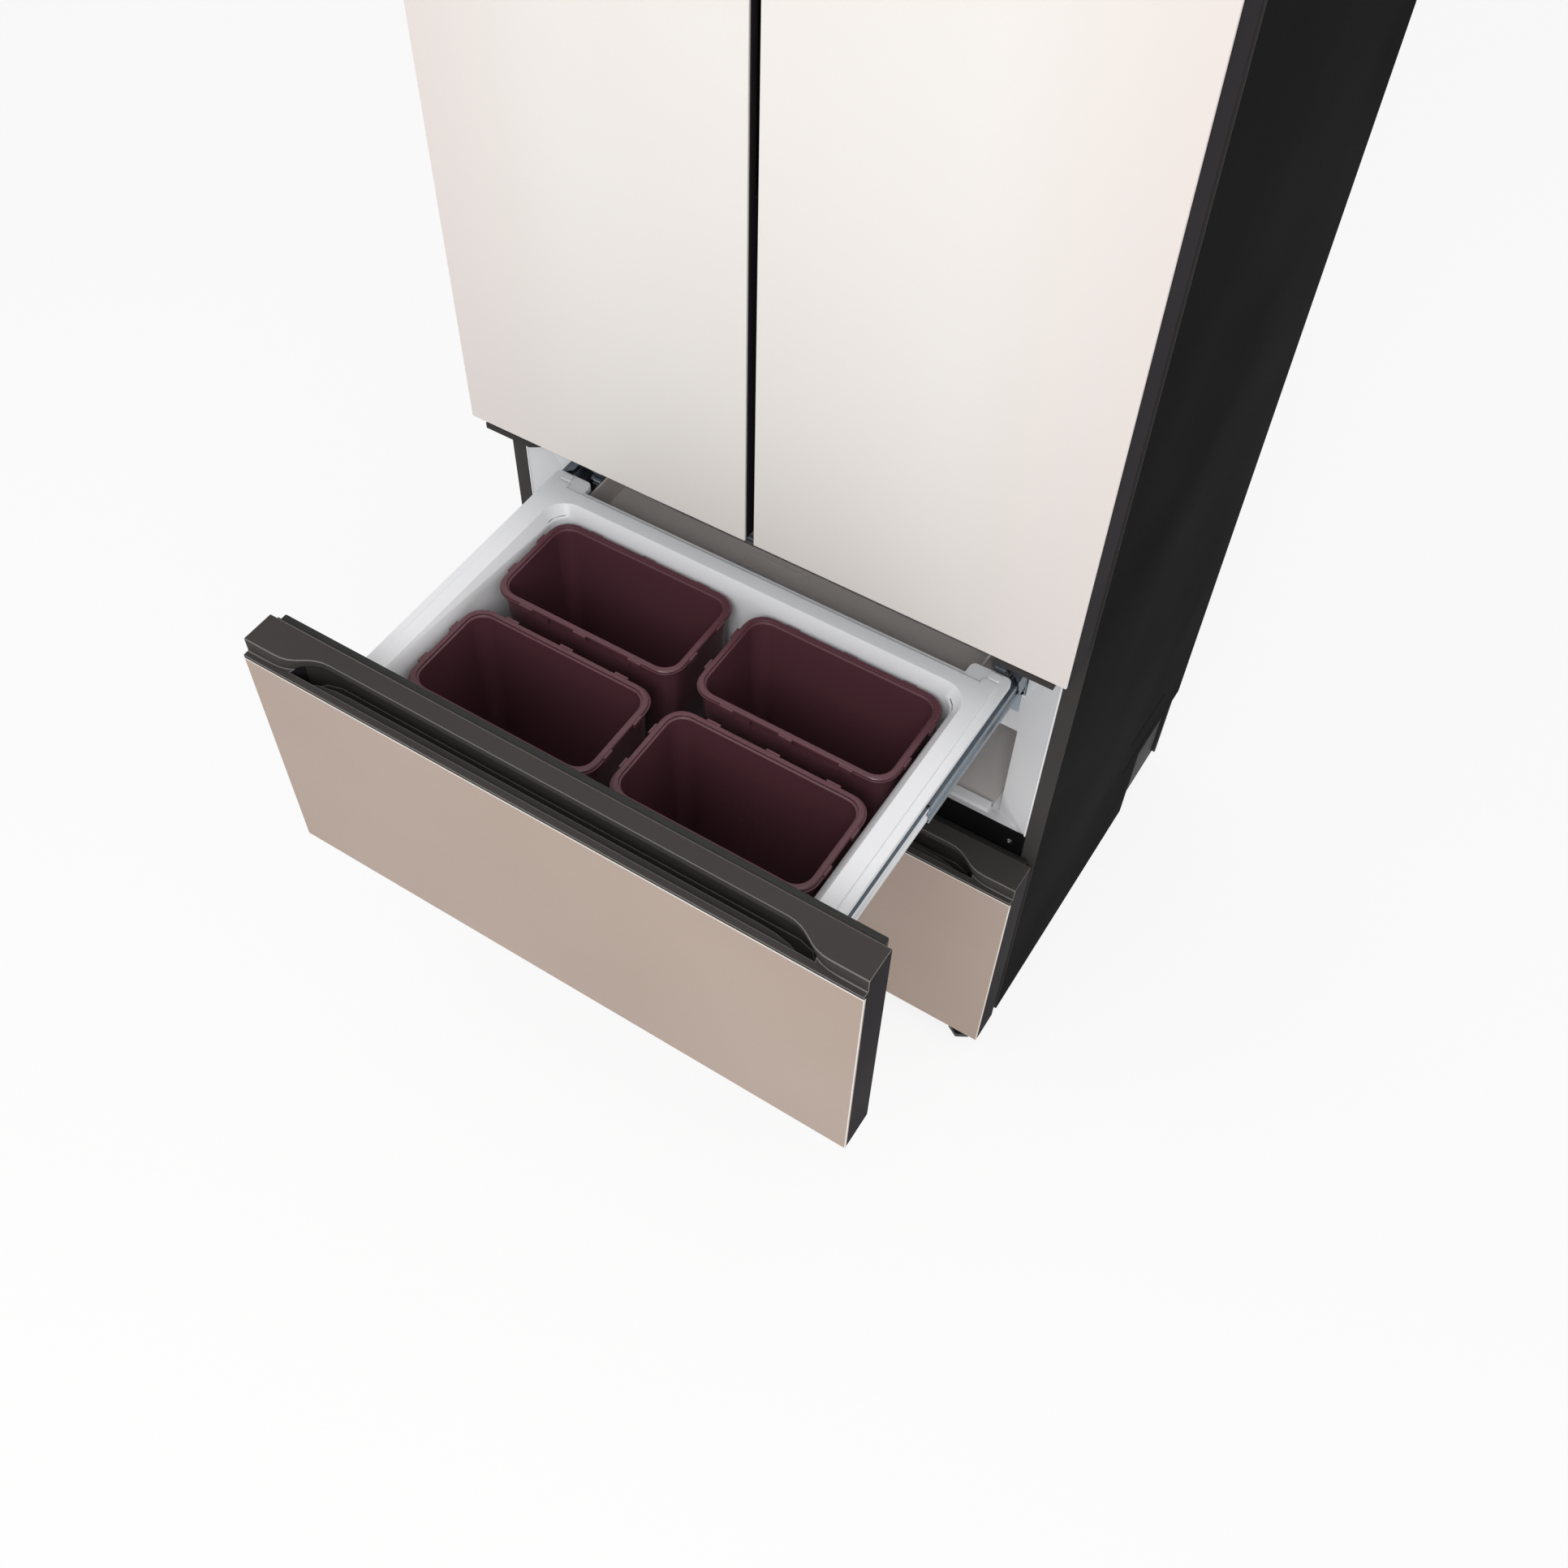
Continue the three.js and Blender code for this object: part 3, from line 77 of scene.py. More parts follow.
def pick(piece):
    clearSelection()
    piece.select_set(True)
    bpy.context.view_layer.objects.active = piece


def editAll(piece):
    pick(piece)
    bpy.ops.object.mode_set(mode="EDIT")
    bpy.ops.mesh.select_all(action="SELECT")


def leaveEdit():
    bpy.ops.object.mode_set(mode="OBJECT")


def applyPlace(piece):
    pick(piece)
    bpy.ops.object.transform_apply(location=True, rotation=True, scale=True)


# the camera, fitted to the straight edges of the refrigerator
cameraSetup = {
    "place": (0.7054, doorLine - 1.1220, 2.1555),
    "turn": 33.203,  # degrees, to the right of the front
    "lookDown": 54.370,
    "roll": -0.236,
    "sensor": 36,
    "lens": 37.56,
    "shift": (0.0353, 0.0156),
    "sightEnd": 50,
}


def placeCamera(setup):
    clearSelection()
    bpy.ops.object.camera_add(location=(0, 0, 0))
    camera = bpy.context.object
    camera.name = "photoCamera"
    turn = Matrix.Rotation(radians(setup["turn"]), 4, "Z")
    tilt = Matrix.Rotation(radians(90 - setup["lookDown"]), 4, "X")
    roll = Matrix.Rotation(radians(setup["roll"]), 4, "Z")
    camera.matrix_world = Matrix.Translation(setup["place"]) @ turn @ tilt @ roll
    camera.data.sensor_width = setup["sensor"]
    camera.data.lens = setup["lens"]
    camera.data.shift_x, camera.data.shift_y = setup["shift"]
    camera.data.clip_end = setup["sightEnd"]
    bpy.context.scene.camera = camera


placeCamera(cameraSetup)
print("camera placed")


# a shader node; each input gets a value, or the output that feeds it
def addNode(tree, kind, inputs=None, **settings):
    node = tree.nodes.new("ShaderNode" + kind)
    for key, value in settings.items():
        setattr(node, key, value)
    for socket, value in (inputs or {}).items():
        if isinstance(value, bpy.types.NodeSocket):
            tree.links.new(value, node.inputs[socket])
        else:
            node.inputs[socket].default_value = value
    return node


# floor and light
studio = {
    "floorSize": 30,
    "floorColor": (0.93, 0.93, 0.93, 1),
    "floorRough": 0.9,
    "floorGlow": 0.84,  # share of plain white that the camera sees in the floor
    "skyColor": (1, 1, 1, 1),  # what the camera sees past the floor
    "worldColor": (1, 1, 1, 1),
    "worldStrength": 0.55,
    "lamps": [
        {"name": "keyPanel", "place": (1.1, -3.6, 4.0), "aim": (0.1, -0.2, 0.7), "size": 2.1, "power": 94},
        {"name": "lowPanel", "place": (0.3, -4.5, 1.3), "aim": (0, 0, 0.7), "size": 2.4, "power": 16},
        {"name": "topPanel", "place": (0.2, -0.8, 4.2), "aim": (0, -0.3, 0.6), "size": 2.6, "power": 25},
    ],
}


def glowShare(tree, share):  # nothing for the rays that carry light to the object
    rays = addNode(tree, "LightPath").outputs
    seen = addNode(tree, "Math", {0: rays["Is Camera Ray"], 1: rays["Is Glossy Ray"]}, operation="MAXIMUM")
    seen = addNode(tree, "Math", {0: seen.outputs[0], 1: rays["Is Transmission Ray"]}, operation="MAXIMUM")
    return addNode(tree, "Math", {0: seen.outputs[0], 1: share}, operation="MULTIPLY").outputs[0]


def makeFloor(setup):
    clearSelection()
    bpy.ops.mesh.primitive_plane_add(size=setup["floorSize"], location=(0, 0, 0))
    floor = bpy.context.object
    floor.name = "studioFloor"
    material = bpy.data.materials.new("studioFloor")
    material.use_nodes = True
    tree = material.node_tree
    shader = tree.nodes["Principled BSDF"]
    shader.inputs["Base Color"].default_value = setup["floorColor"]
    shader.inputs["Roughness"].default_value = setup["floorRough"]
    glow = addNode(tree, "Emission")
    share = glowShare(tree, setup["floorGlow"])
    mix = addNode(tree, "MixShader", {0: share, 1: shader.outputs[0], 2: glow.outputs[0]})
    tree.links.new(mix.outputs[0], tree.nodes["Material Output"].inputs["Surface"])
    floor.data.materials.append(material)


def makeWorld(setup):
    world = bpy.data.worlds.new("studioWorld")
    bpy.context.scene.world = world
    world.use_nodes = True
    tree = world.node_tree
    plain = tree.nodes["Background"]
    plain.inputs["Color"].default_value = setup["worldColor"]
    plain.inputs["Strength"].default_value = setup["worldStrength"]
    sky = addNode(tree, "Background", {"Color": setup["skyColor"]})
    seen = addNode(tree, "LightPath").outputs["Is Camera Ray"]
    mix = addNode(tree, "MixShader", {0: seen, 1: plain.outputs[0], 2: sky.outputs[0]})
    tree.links.new(mix.outputs[0], tree.nodes["World Output"].inputs["Surface"])


def makeLamps(setup):
    for lamp in setup["lamps"]:
        clearSelection()
        bpy.ops.object.light_add(type="AREA", location=lamp["place"])
        light = bpy.context.object
        light.name = lamp["name"]
        light.data.shape = "SQUARE"
        light.data.size = lamp["size"]
        light.data.energy = lamp["power"]
        aim = Vector(lamp["aim"]) - Vector(lamp["place"])
        light.rotation_euler = aim.to_track_quat("-Z", "Y").to_euler()


makeFloor(studio)
makeWorld(studio)
makeLamps(studio)
bpy.context.scene.view_settings.view_transform = "Standard"
print("floor, world and lamps made")


def hexColor(text):
    values = [int(text[i:i + 2], 16) / 255 for i in (1, 3, 5)]
    linear = [v / 12.92 if v <= 0.04045 else ((v + 0.055) / 1.055) ** 2.4 for v in values]
    return (*linear, 1)


# finishes: the two colors drift into each other, grain is its scale and its depth in metres,
# brush stretches the grain along y, and glass is the light let through and its bending
usualFinish = {"grain": (900, 0.00004), "gloss": 0.5, "metal": 0, "coat": 0}
finishSetups = {
    # creamPanel ends in a painted shade, warmer and darker toward the doors' outer edges
    "creamPanel": {"colors": ("#EBE7E2", "#E9E4DF"), "rough": 0.40, "grain": (420, 0.00002), "gloss": 0.3,
                   "paintedEdgeShade": "#E5DCD8"},
    "taupePanel": {"colors": ("#AF9C90", "#AA978B"), "rough": 0.40, "grain": (420, 0.00002), "gloss": 0.2},
    # painted highlight: a near-white colour for the rounded edges of the taupe drawer panels
    "panelEdgePaintedHighlight": {"colors": ("#F1ECE6", "#E6DFD8"), "rough": 0.30, "metal": 0.25},
    "charcoalFrame": {"colors": ("#3E3B3A", "#454241"), "rough": 0.46, "grain": (1500, 0.00005),
                      "gloss": 0.02},
    # painted shade: a darker copy of the charcoal for the side faces of the frames
    "charcoalPaintedShade": {"colors": ("#2E2A2D", "#292629"), "rough": 0.46, "grain": (1500, 0.00005),
                     "gloss": 0.005},
    # painted highlight: a lighter charcoal for the rounded edges of the handle frames
    "charcoalEdgePaintedHighlight": {"colors": ("#6E6A67", "#66625F"), "rough": 0.25, "grain": (1500, 0.00002)},
    "casePaint": {"colors": ("#232324", "#1C1C1D"), "rough": 0.5, "grain": (500, 0.00003), "gloss": 0.0008},
    "backSheet": {"colors": ("#34353A", "#2C2D31"), "rough": 0.45, "grain": (500, 0.00003), "gloss": 0.1},
    "frameBlack": {"colors": ("#0E0D0D", "#151414"), "rough": 0.40, "gloss": 0.02},
    "flangeGrey": {"colors": ("#464443", "#3E3D3C"), "rough": 0.45, "grain": (900, 0.00003), "gloss": 0.03},
    "whiteLiner": {"colors": ("#F3F3F4", "#EDEDEF"), "rough": 0.34, "grain": (260, 0.00003)},
    "whiteTub": {"colors": ("#ECEDEF", "#E4E5E8"), "rough": 0.30, "grain": (700, 0.00003)},
    # grey-brown is the deck's own tone; its high lightness is painted light, for the light it lacks under the
    # doors
    "coolingMetalPaintedLight": {"colors": ("#D2CBC7", "#C8C1BD"), "rough": 0.38, "grain": (600, 0.00003), "metal": 0.1},
    # painted light: the cooling plate is drawn far lighter than its own colour, for the light it lacks in the
    # cavity
    "coolingFloorPaintedLight": {"colors": ("#DEDAD7", "#D4CFCC"), "rough": 0.38, "grain": (600, 0.00003), "gloss": 0.2},
    "rackPlastic": {"colors": ("#87807B", "#7B746F"), "rough": 0.5, "grain": (1200, 0.00005)},
    "zincSteel": {"colors": ("#9AA4AD", "#7F8A94"), "rough": 0.27, "grain": (300, 0.00003), "metal": 0.9,
                  "brush": (1, 0.03, 1)},
    "gasketRubber": {"colors": ("#151515", "#1C1C1C"), "rough": 0.62, "grain": (1400, 0.00006)},
    "burgundyBox": {"colors": ("#613C44", "#53323A"), "rough": 0.31, "grain": (900, 0.00003)},
    "blackPart": {"colors": ("#161617", "#1D1D1E"), "rough": 0.5, "grain": (1100, 0.00006)},
    "compressorPaint": {"colors": ("#131314", "#1A1A1B"), "rough": 0.32, "grain": (160, 0.00012),
                        "coat": 0.2},
    "screwSteel": {"colors": ("#A7ADB2", "#8D9499"), "rough": 0.28, "grain": (900, 0.00003), "metal": 1},
    "shelfGlass": {"colors": ("#D5E2E0", "#CBDAD8"), "rough": 0.08, "grain": (60, 0.00002),
                   "glass": (0.85, 1.45)},
}
surfaceDetail = {
    "driftScale": 3,
    "noiseDetail": 2,
    "grainInDrift": 0.3,
    "driftRange": (0.4, 0.9),  # noise values at the first and at the second color
    "roughSpread": 0.05,
    "coatRough": 0.2,
    "bumpStrength": 0.35,
    "edgeShadeRange": (0.20, 0.41),  # distance from the middle where the painted edge shade begins, and where it is full
}


def paintedShadeToEdges(tree, detail, place, color, edgeShadeColor):  # painted shade: the lacquer is drawn warmer and darker toward the doors' outer edges
    across = addNode(tree, "SeparateXYZ", {0: place}).outputs["X"]
    far = addNode(tree, "Math", {0: across}, operation="ABSOLUTE").outputs[0]
    start, full = detail["edgeShadeRange"]
    reach = addNode(tree, "MapRange", {"Value": far, "From Min": start, "From Max": full},
                    interpolation_type="SMOOTHSTEP")
    mix = addNode(tree, "Mix", {0: reach.outputs["Result"], 6: color, 7: hexColor(edgeShadeColor)}, data_type="RGBA")
    return mix.outputs[2]


def makeFinish(name, given, detail):
    setup = {**usualFinish, **given}
    material = bpy.data.materials.new(name)
    material.use_nodes = True
    tree = material.node_tree
    shader = tree.nodes["Principled BSDF"]
    shader.inputs["Metallic"].default_value = setup["metal"]
    shader.inputs["Coat Weight"].default_value = setup["coat"]
    shader.inputs["Coat Roughness"].default_value = detail["coatRough"]
    shader.inputs["Specular IOR Level"].default_value = setup["gloss"]
    if "glass" in setup:
        through, bending = setup["glass"]
        shader.inputs["Transmission Weight"].default_value = through
        shader.inputs["IOR"].default_value = bending

    place = addNode(tree, "TexCoord").outputs["Object"]
    grainPlace = place
    if "brush" in setup:
        grainPlace = addNode(tree, "Mapping", {"Vector": place, "Scale": setup["brush"]}).outputs["Vector"]
    grainScale, grainDepth = setup["grain"]
    slow = {"Vector": place, "Scale": detail["driftScale"], "Detail": detail["noiseDetail"]}
    fine = {"Vector": grainPlace, "Scale": grainScale, "Detail": detail["noiseDetail"]}
    cloud = addNode(tree, "TexNoise", slow).outputs["Fac"]
    grain = addNode(tree, "TexNoise", fine).outputs["Fac"]
    both = addNode(tree, "Math", {0: grain, 1: detail["grainInDrift"], 2: cloud}, operation="MULTIPLY_ADD")
    first, last = detail["driftRange"]
    spread = addNode(tree, "MapRange", {"Value": both.outputs[0], "From Min": first, "From Max": last})
    drift = spread.outputs["Result"]

    color, shade = [hexColor(text) for text in setup["colors"]]
    color = addNode(tree, "Mix", {0: drift, 6: color, 7: shade}, data_type="RGBA").outputs[2]
    # a painted shade, warmer and darker, toward the outer edges of the doors
    if "paintedEdgeShade" in setup:
        color = paintedShadeToEdges(tree, detail, place, color, setup["paintedEdgeShade"])
    tree.links.new(color, shader.inputs["Base Color"])
    low, high = setup["rough"] - detail["roughSpread"], setup["rough"] + detail["roughSpread"]
    polish = addNode(tree, "MapRange", {"Value": drift, "To Min": low, "To Max": high})
    tree.links.new(polish.outputs["Result"], shader.inputs["Roughness"])
    relief = {"Height": grain, "Strength": detail["bumpStrength"], "Distance": grainDepth}
    tree.links.new(addNode(tree, "Bump", relief).outputs["Normal"], shader.inputs["Normal"])
    return material


finishes = {name: makeFinish(name, setup, surfaceDetail) for name, setup in finishSetups.items()}
print("finishes made")


# the pieces that come from the frame: a finish each, and the rounding of their edges in metres
def eachSide(name):
    return [f"{side}_{name}" for side in sides]


def eachLevel(name):
    return [f"{level}_{name}" for level in levels]


boxNames = [f"container_{row}_{side}" for row in ("front", "rear") for side in sides]
slideNames = [f"{level}_{member}_slide_{side}"
              for level in levels for member in ("outer", "middle") for side in sides]
carried = {
    "doorPanels": {"finish": "creamPanel", "edge": 0.0010, "names": eachSide("door_panel")},
    "drawerPanels": {"finish": "taupePanel", "edge": 0.0010, "names": eachLevel("drawer_panel"),
                     "paintedHighlightFinish": "panelEdgePaintedHighlight"},
    "handleFrames": {"finish": "charcoalFrame", "edge": 0.0012, "names": eachLevel("drawer_handle_frame"),
                     "paintedHighlightFinish": "charcoalEdgePaintedHighlight"},
    "doorFrames": {"finish": "charcoalFrame", "edge": 0.0015, "names": eachSide("door_frame")},
    "topCover": {"finish": "charcoalFrame", "edge": 0.0015, "names": ["hinge_cover"]},
    "case": {"finish": "casePaint", "edge": 0.0012, "names": ["outer_case"]},
    "back": {"finish": "backSheet", "edge": 0.0006, "names": ["back_panel"]},
    "frame": {"finish": "frameBlack", "edge": 0.0008,
              "names": ["centre_frame", "divider_rail", "base_frame"]},
    "lowerHinges": {"finish": "charcoalFrame", "edge": 0.0010, "names": eachSide("lower_hinge")},
    "upperHinges": {"finish": "zincSteel", "edge": 0.0005, "names": eachSide("upper_hinge")},
    "liners": {"finish": "whiteLiner", "edge": 0.0020, "names": ["upper_liner"] + eachLevel("drawer_liner")},
    "doorLiners": {"finish": "whiteLiner", "edge": 0.0010, "names": eachSide("door_liner")},
    "innerPanels": {"finish": "charcoalFrame", "edge": 0.0006, "names": eachLevel("drawer_inner_panel")},
    "tubs": {"finish": "whiteTub", "edge": 0.0010, "names": eachLevel("drawer_tub")},
    "boxes": {"finish": "burgundyBox", "edge": 0.0005, "names": boxNames},
    "cooling": {"finish": "coolingFloorPaintedLight", "edge": 0.0004, "names": ["upper_cooling_plate"]},
    "ducts": {"finish": "whiteLiner", "edge": 0.0006, "names": eachSide("duct_cover")},
    "shelves": {"finish": "shelfGlass", "edge": 0.0008, "names": eachSide("shelf")},
    "carriages": {"finish": "zincSteel", "edge": 0.0003, "names": eachLevel("drawer_carriage")},
    "slides": {"finish": "zincSteel", "edge": 0.0003, "names": slideNames},
    "shafts": {"finish": "zincSteel", "edge": 0.0003, "names": eachLevel("sync_shaft")},
    "gaskets": {"finish": "gasketRubber", "edge": 0.0020,
                "names": eachSide("door_gasket") + eachLevel("drawer_gasket")},
    "feet": {"finish": "blackPart", "edge": 0.0008, "names": eachSide("foot")},
    "rollers": {"finish": "blackPart", "edge": 0.0006, "names": eachSide("roller")},
    "machineCover": {"finish": "blackPart", "edge": 0.0006, "names": ["machine_cover"]},
    "compressor": {"finish": "compressorPaint", "edge": 0.0015, "names": ["compressor"]},
    "condenser": {"finish": "zincSteel", "edge": 0.0003, "names": ["condenser"]},
    "fan": {"finish": "blackPart", "edge": 0.0004, "names": ["fan_rotor"]},
}
edgeWork = {
    "mergeWithin": 0.00002,  # metres
    "flatWithin": 0.6,  # degrees
    "roundOver": 40,
    "smoothUnder": 50,
    "smoothNewUnder": 40,  # on the pieces modelled here
    "steps": 2,
}


def mergedCopy(name, setup):
    source = nodes[name]
    clearSelection()
    piece = source.copy()
    piece.data = source.data.copy()
    piece.parent = None
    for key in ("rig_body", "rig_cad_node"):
        del piece[key]
    piece.name = name + "_finished"
    bpy.context.collection.objects.link(piece)
    pick(piece)
    bpy.ops.mesh.customdata_custom_splitnormals_clear()
    editAll(piece)
    bpy.ops.mesh.remove_doubles(threshold=setup["mergeWithin"])
    bpy.ops.mesh.dissolve_limited(angle_limit=radians(setup["flatWithin"]))
    bpy.ops.mesh.select_all(action="SELECT")
    bpy.ops.mesh.vert_connect_concave()  # a rounded edge would turn parts of a hollow face inside out
    leaveEdit()
    return piece


def roundEdges(piece, edge, setup, highlightSlot=-1):
    bevel = piece.modifiers.new("roundedEdges", "BEVEL")
    bevel.limit_method = "ANGLE"
    bevel.angle_limit = radians(setup["roundOver"])
    bevel.width = edge
    bevel.segments = setup["steps"]
    bevel.use_clamp_overlap = False
    # the faces of the rounding take the painted highlight finish when one is given
    bevel.material = highlightSlot
    pick(piece)
    bpy.ops.object.modifier_apply(modifier=bevel.name)
    bpy.ops.object.shade_smooth_by_angle(angle=radians(setup["smoothUnder"]))
    weight = piece.modifiers.new("flatFaces", "WEIGHTED_NORMAL")  # keeps large flat faces flat
    weight.keep_sharp = True
    bpy.ops.object.modifier_apply(modifier=weight.name)


def dressCarried(setup):
    dressed = {}
    for name in setup["names"]:
        piece = mergedCopy(name, edgeWork)
        piece.data.materials.clear()
        piece.data.materials.append(finishes[setup["finish"]])
        highlightSlot = -1
        # the rounded edges of some pieces get a lighter finish of their own, a painted highlight
        if "paintedHighlightFinish" in setup:
            piece.data.materials.append(finishes[setup["paintedHighlightFinish"]])
            highlightSlot = 1
        roundEdges(piece, setup["edge"], edgeWork, highlightSlot)
        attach(piece, bodyOf[name])
        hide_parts(name)
        nodes[name].data.materials.clear()
        nodes[name].data.materials.append(finishes[setup["finish"]])
        dressed[name] = piece
    return dressed


pieces = {}
for setup in carried.values():
    pieces.update(dressCarried(setup))
print("carried pieces dressed:", len(pieces))

# faces that have another finish than the rest of their piece
secondFinish = {
    "rackReach": 0.0153,  # inner edge of a fixed slide member to the outer face of its toothed rack
    "railSkin": 0.004,  # depth of the white outer side of a carriage
    "railFacing": 0.5,
    "flangeSkin": 0.003,  # depth of the front flange of the folded case
    "flangeFacing": 0.6,
    # how squarely a side face looks along x to take the painted shade
    "shadedSideFacing": 0.8,
}


def refinish(piece, finish, test):
    piece.data.materials.append(finishes[finish])
    slot = len(piece.data.materials) - 1
    for face in piece.data.polygons:
        if test(face.center, face.normal, [piece.data.vertices[i].co for i in face.vertices]):
            face.material_index = slot


def refinishSlides(setup, level):
    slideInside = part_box(f"{level}_outer_slide_right")[0].x
    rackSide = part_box("upper_outer_slide_right")[0].x + setup["rackReach"]
    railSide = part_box(f"{level}_drawer_carriage")[1].x - setup["railSkin"]
    for side in sides:
        refinish(pieces[f"{level}_outer_slide_{side}"], "rackPlastic",
                 lambda centre, normal, corners: max(abs(c.x) for c in corners) < rackSide)
    carriage = pieces[f"{level}_drawer_carriage"]
    refinish(carriage, "coolingMetalPaintedLight",
             lambda centre, normal, corners: max(abs(c.x) for c in corners) < slideInside)
    refinish(carriage, "whiteTub",
             lambda centre, normal, corners: abs(normal.x) > setup["railFacing"] and abs(centre.x) > railSide)


def refinishFronts(setup):
    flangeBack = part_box("outer_case")[0].y + setup["flangeSkin"]
    refinish(pieces["outer_case"], "flangeGrey",
             lambda centre, normal, corners: normal.y < -setup["flangeFacing"] and centre.y < flangeBack)
    # the side faces of the handle and door frames get a painted shade
    for name in carried["handleFrames"]["names"] + carried["doorFrames"]["names"]:
        refinish(pieces[name], "charcoalPaintedShade",
                 lambda centre, normal, corners: abs(normal.x) > setup["shadedSideFacing"])


for level in levels:
    refinishSlides(secondFinish, level)
refinishFronts(secondFinish)
print("second finishes given")

# what the pieces modelled from here on share
facing = 0.9  # how squarely a face looks along an axis when it is taken for that side
mirrorX = Matrix.Scale(-1, 4, (1, 0, 0))


def selectFaces(piece, test):
    pick(piece)
    bpy.ops.object.mode_set(mode="EDIT")
    bpy.ops.mesh.select_mode(type="FACE")
    bpy.ops.mesh.select_all(action="DESELECT")
    leaveEdit()
    for face in piece.data.polygons:
        face.select = test(face.center, face.normal)
    bpy.ops.object.mode_set(mode="EDIT")


def selectPoints(piece, test):
    pick(piece)
    bpy.ops.object.mode_set(mode="EDIT")
    bpy.ops.mesh.select_mode(type="VERT")
    bpy.ops.mesh.select_all(action="DESELECT")
    leaveEdit()
    for point in piece.data.vertices:
        point.select = test(point.co)
    bpy.ops.object.mode_set(mode="EDIT")


def extrude(x, y, z):
    bpy.ops.mesh.extrude_region_move(TRANSFORM_OT_translate={"value": (x, y, z)})


def cubeAt(name, low, high):
    clearSelection()
    middle = [(a + b) / 2 for a, b in zip(low, high)]
    bpy.ops.mesh.primitive_cube_add(size=1, location=middle, scale=[b - a for a, b in zip(low, high)])
    piece = bpy.context.object
    piece.name = name
    applyPlace(piece)
    return piece


def copyOf(piece, name, matrix):
    clearSelection()
    other = piece.copy()
    other.data = piece.data.copy()
    other.name = name
    bpy.context.collection.objects.link(other)
    other.matrix_world = matrix @ piece.matrix_world
    applyPlace(other)
    return other


def facesOut(piece):  # a mirrored or spun mesh may have its faces inside out
    editAll(piece)
    bpy.ops.mesh.normals_make_consistent(inside=False)
    leaveEdit()


def joined(parts, name):
    clearSelection()
    for part in parts:
        part.select_set(True)
    bpy.context.view_layer.objects.active = parts[0]
    bpy.ops.object.join()
    parts[0].name = name
    return parts[0]


def settle(piece, finish, body):
    piece.data.materials.clear()
    piece.data.materials.append(finishes[finish])
    pick(piece)
    bpy.ops.object.shade_smooth_by_angle(angle=radians(edgeWork["smoothNewUnder"]))
    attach(piece, body)


# screws with a raised head and a recess for the driver
screwSetup = {
    "radius": 0.0042,
    "height": 0.0020,
    "sides": 18,
    "slope": 0.3,  # of the radius and of the height
    "land": 0.25,  # ring around the recess, of the radius
    "recess": 0.8,  # of the height
    "recessTaper": 0.6,
    "sink": 0.0002,
    "railInset": 0.0184,
    "railDrop": 0.0193,
    "backRows": 6,
    "backColumns": 5,
    "backEdge": 0.012,
}


def makeScrew(setup):
    clearSelection()
    radius, high = setup["radius"], setup["height"]
    bpy.ops.mesh.primitive_cylinder_add(vertices=setup["sides"], radius=radius, depth=high,
                                        location=(0, 0, high / 2))
    screw = bpy.context.object
    screw.name = "screwPattern"
    applyPlace(screw)
    selectFaces(screw, lambda centre, normal: normal.z > facing)
    bpy.ops.mesh.inset(thickness=radius * setup["slope"])
    bpy.ops.transform.translate(value=(0, 0, high * setup["slope"]))
    bpy.ops.mesh.inset(thickness=radius * setup["land"])
    extrude(0, 0, -high * setup["recess"])
    bpy.ops.transform.resize(value=(setup["recessTaper"], setup["recessTaper"], 1), center_override=(0, 0, 0))
    leaveEdit()
    return screw


def placeScrews(screw, name, places, turn):
    heads = [copyOf(screw, name, Matrix.Translation(place) @ turn) for place in places]
    settle(joined(heads, name), "screwSteel", "cabinet")


def railPlaces(setup):
    low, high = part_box("divider_rail")
    x, z = high.x - setup["railInset"], high.z - setup["railDrop"]
    return [(side * x, low.y + setup["sink"], z) for side in (-1, 1)]


def backPlaces(setup, panel, columns, rows):
    low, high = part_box(panel)
    edge = setup["backEdge"]
    places = []
    for i in range(columns):
        for j in range(rows):
            x = low.x + edge + (high.x - low.x - 2 * edge) * i / (columns - 1)
            z = low.z + edge + (high.z - low.z - 2 * edge) * j / (rows - 1)
            places.append((x, high.y - setup["sink"], z))
    return places


screw = makeScrew(screwSetup)
towardFront = Matrix.Rotation(radians(90), 4, "X")
towardBack = Matrix.Rotation(radians(-90), 4, "X")
placeScrews(screw, "railScrews", railPlaces(screwSetup), towardFront)
backScrews = backPlaces(screwSetup, "back_panel", 2, screwSetup["backRows"])
coverScrews = backPlaces(screwSetup, "machine_cover", screwSetup["backColumns"], 2)
placeScrews(screw, "backScrews", backScrews + coverScrews, towardBack)
bpy.data.objects.remove(screw)
print("screws placed")

# pressed field in the rear deck of each drawer carriage
deckField = {
    "left": -0.074,
    "right": 0.017,
    "front": 0.4955,  # behind the drawer's front
    "depth": 0.040,
    "belowRim": 0.066,  # the deck's top below the tub's rim
    "lift": 0.0001,
    "corner": 0.009,
    "cornerSteps": 5,
    "rise": 0.0006,
    "wall": 0.0012,
    "pressed": 0.7,  # of the rise
}


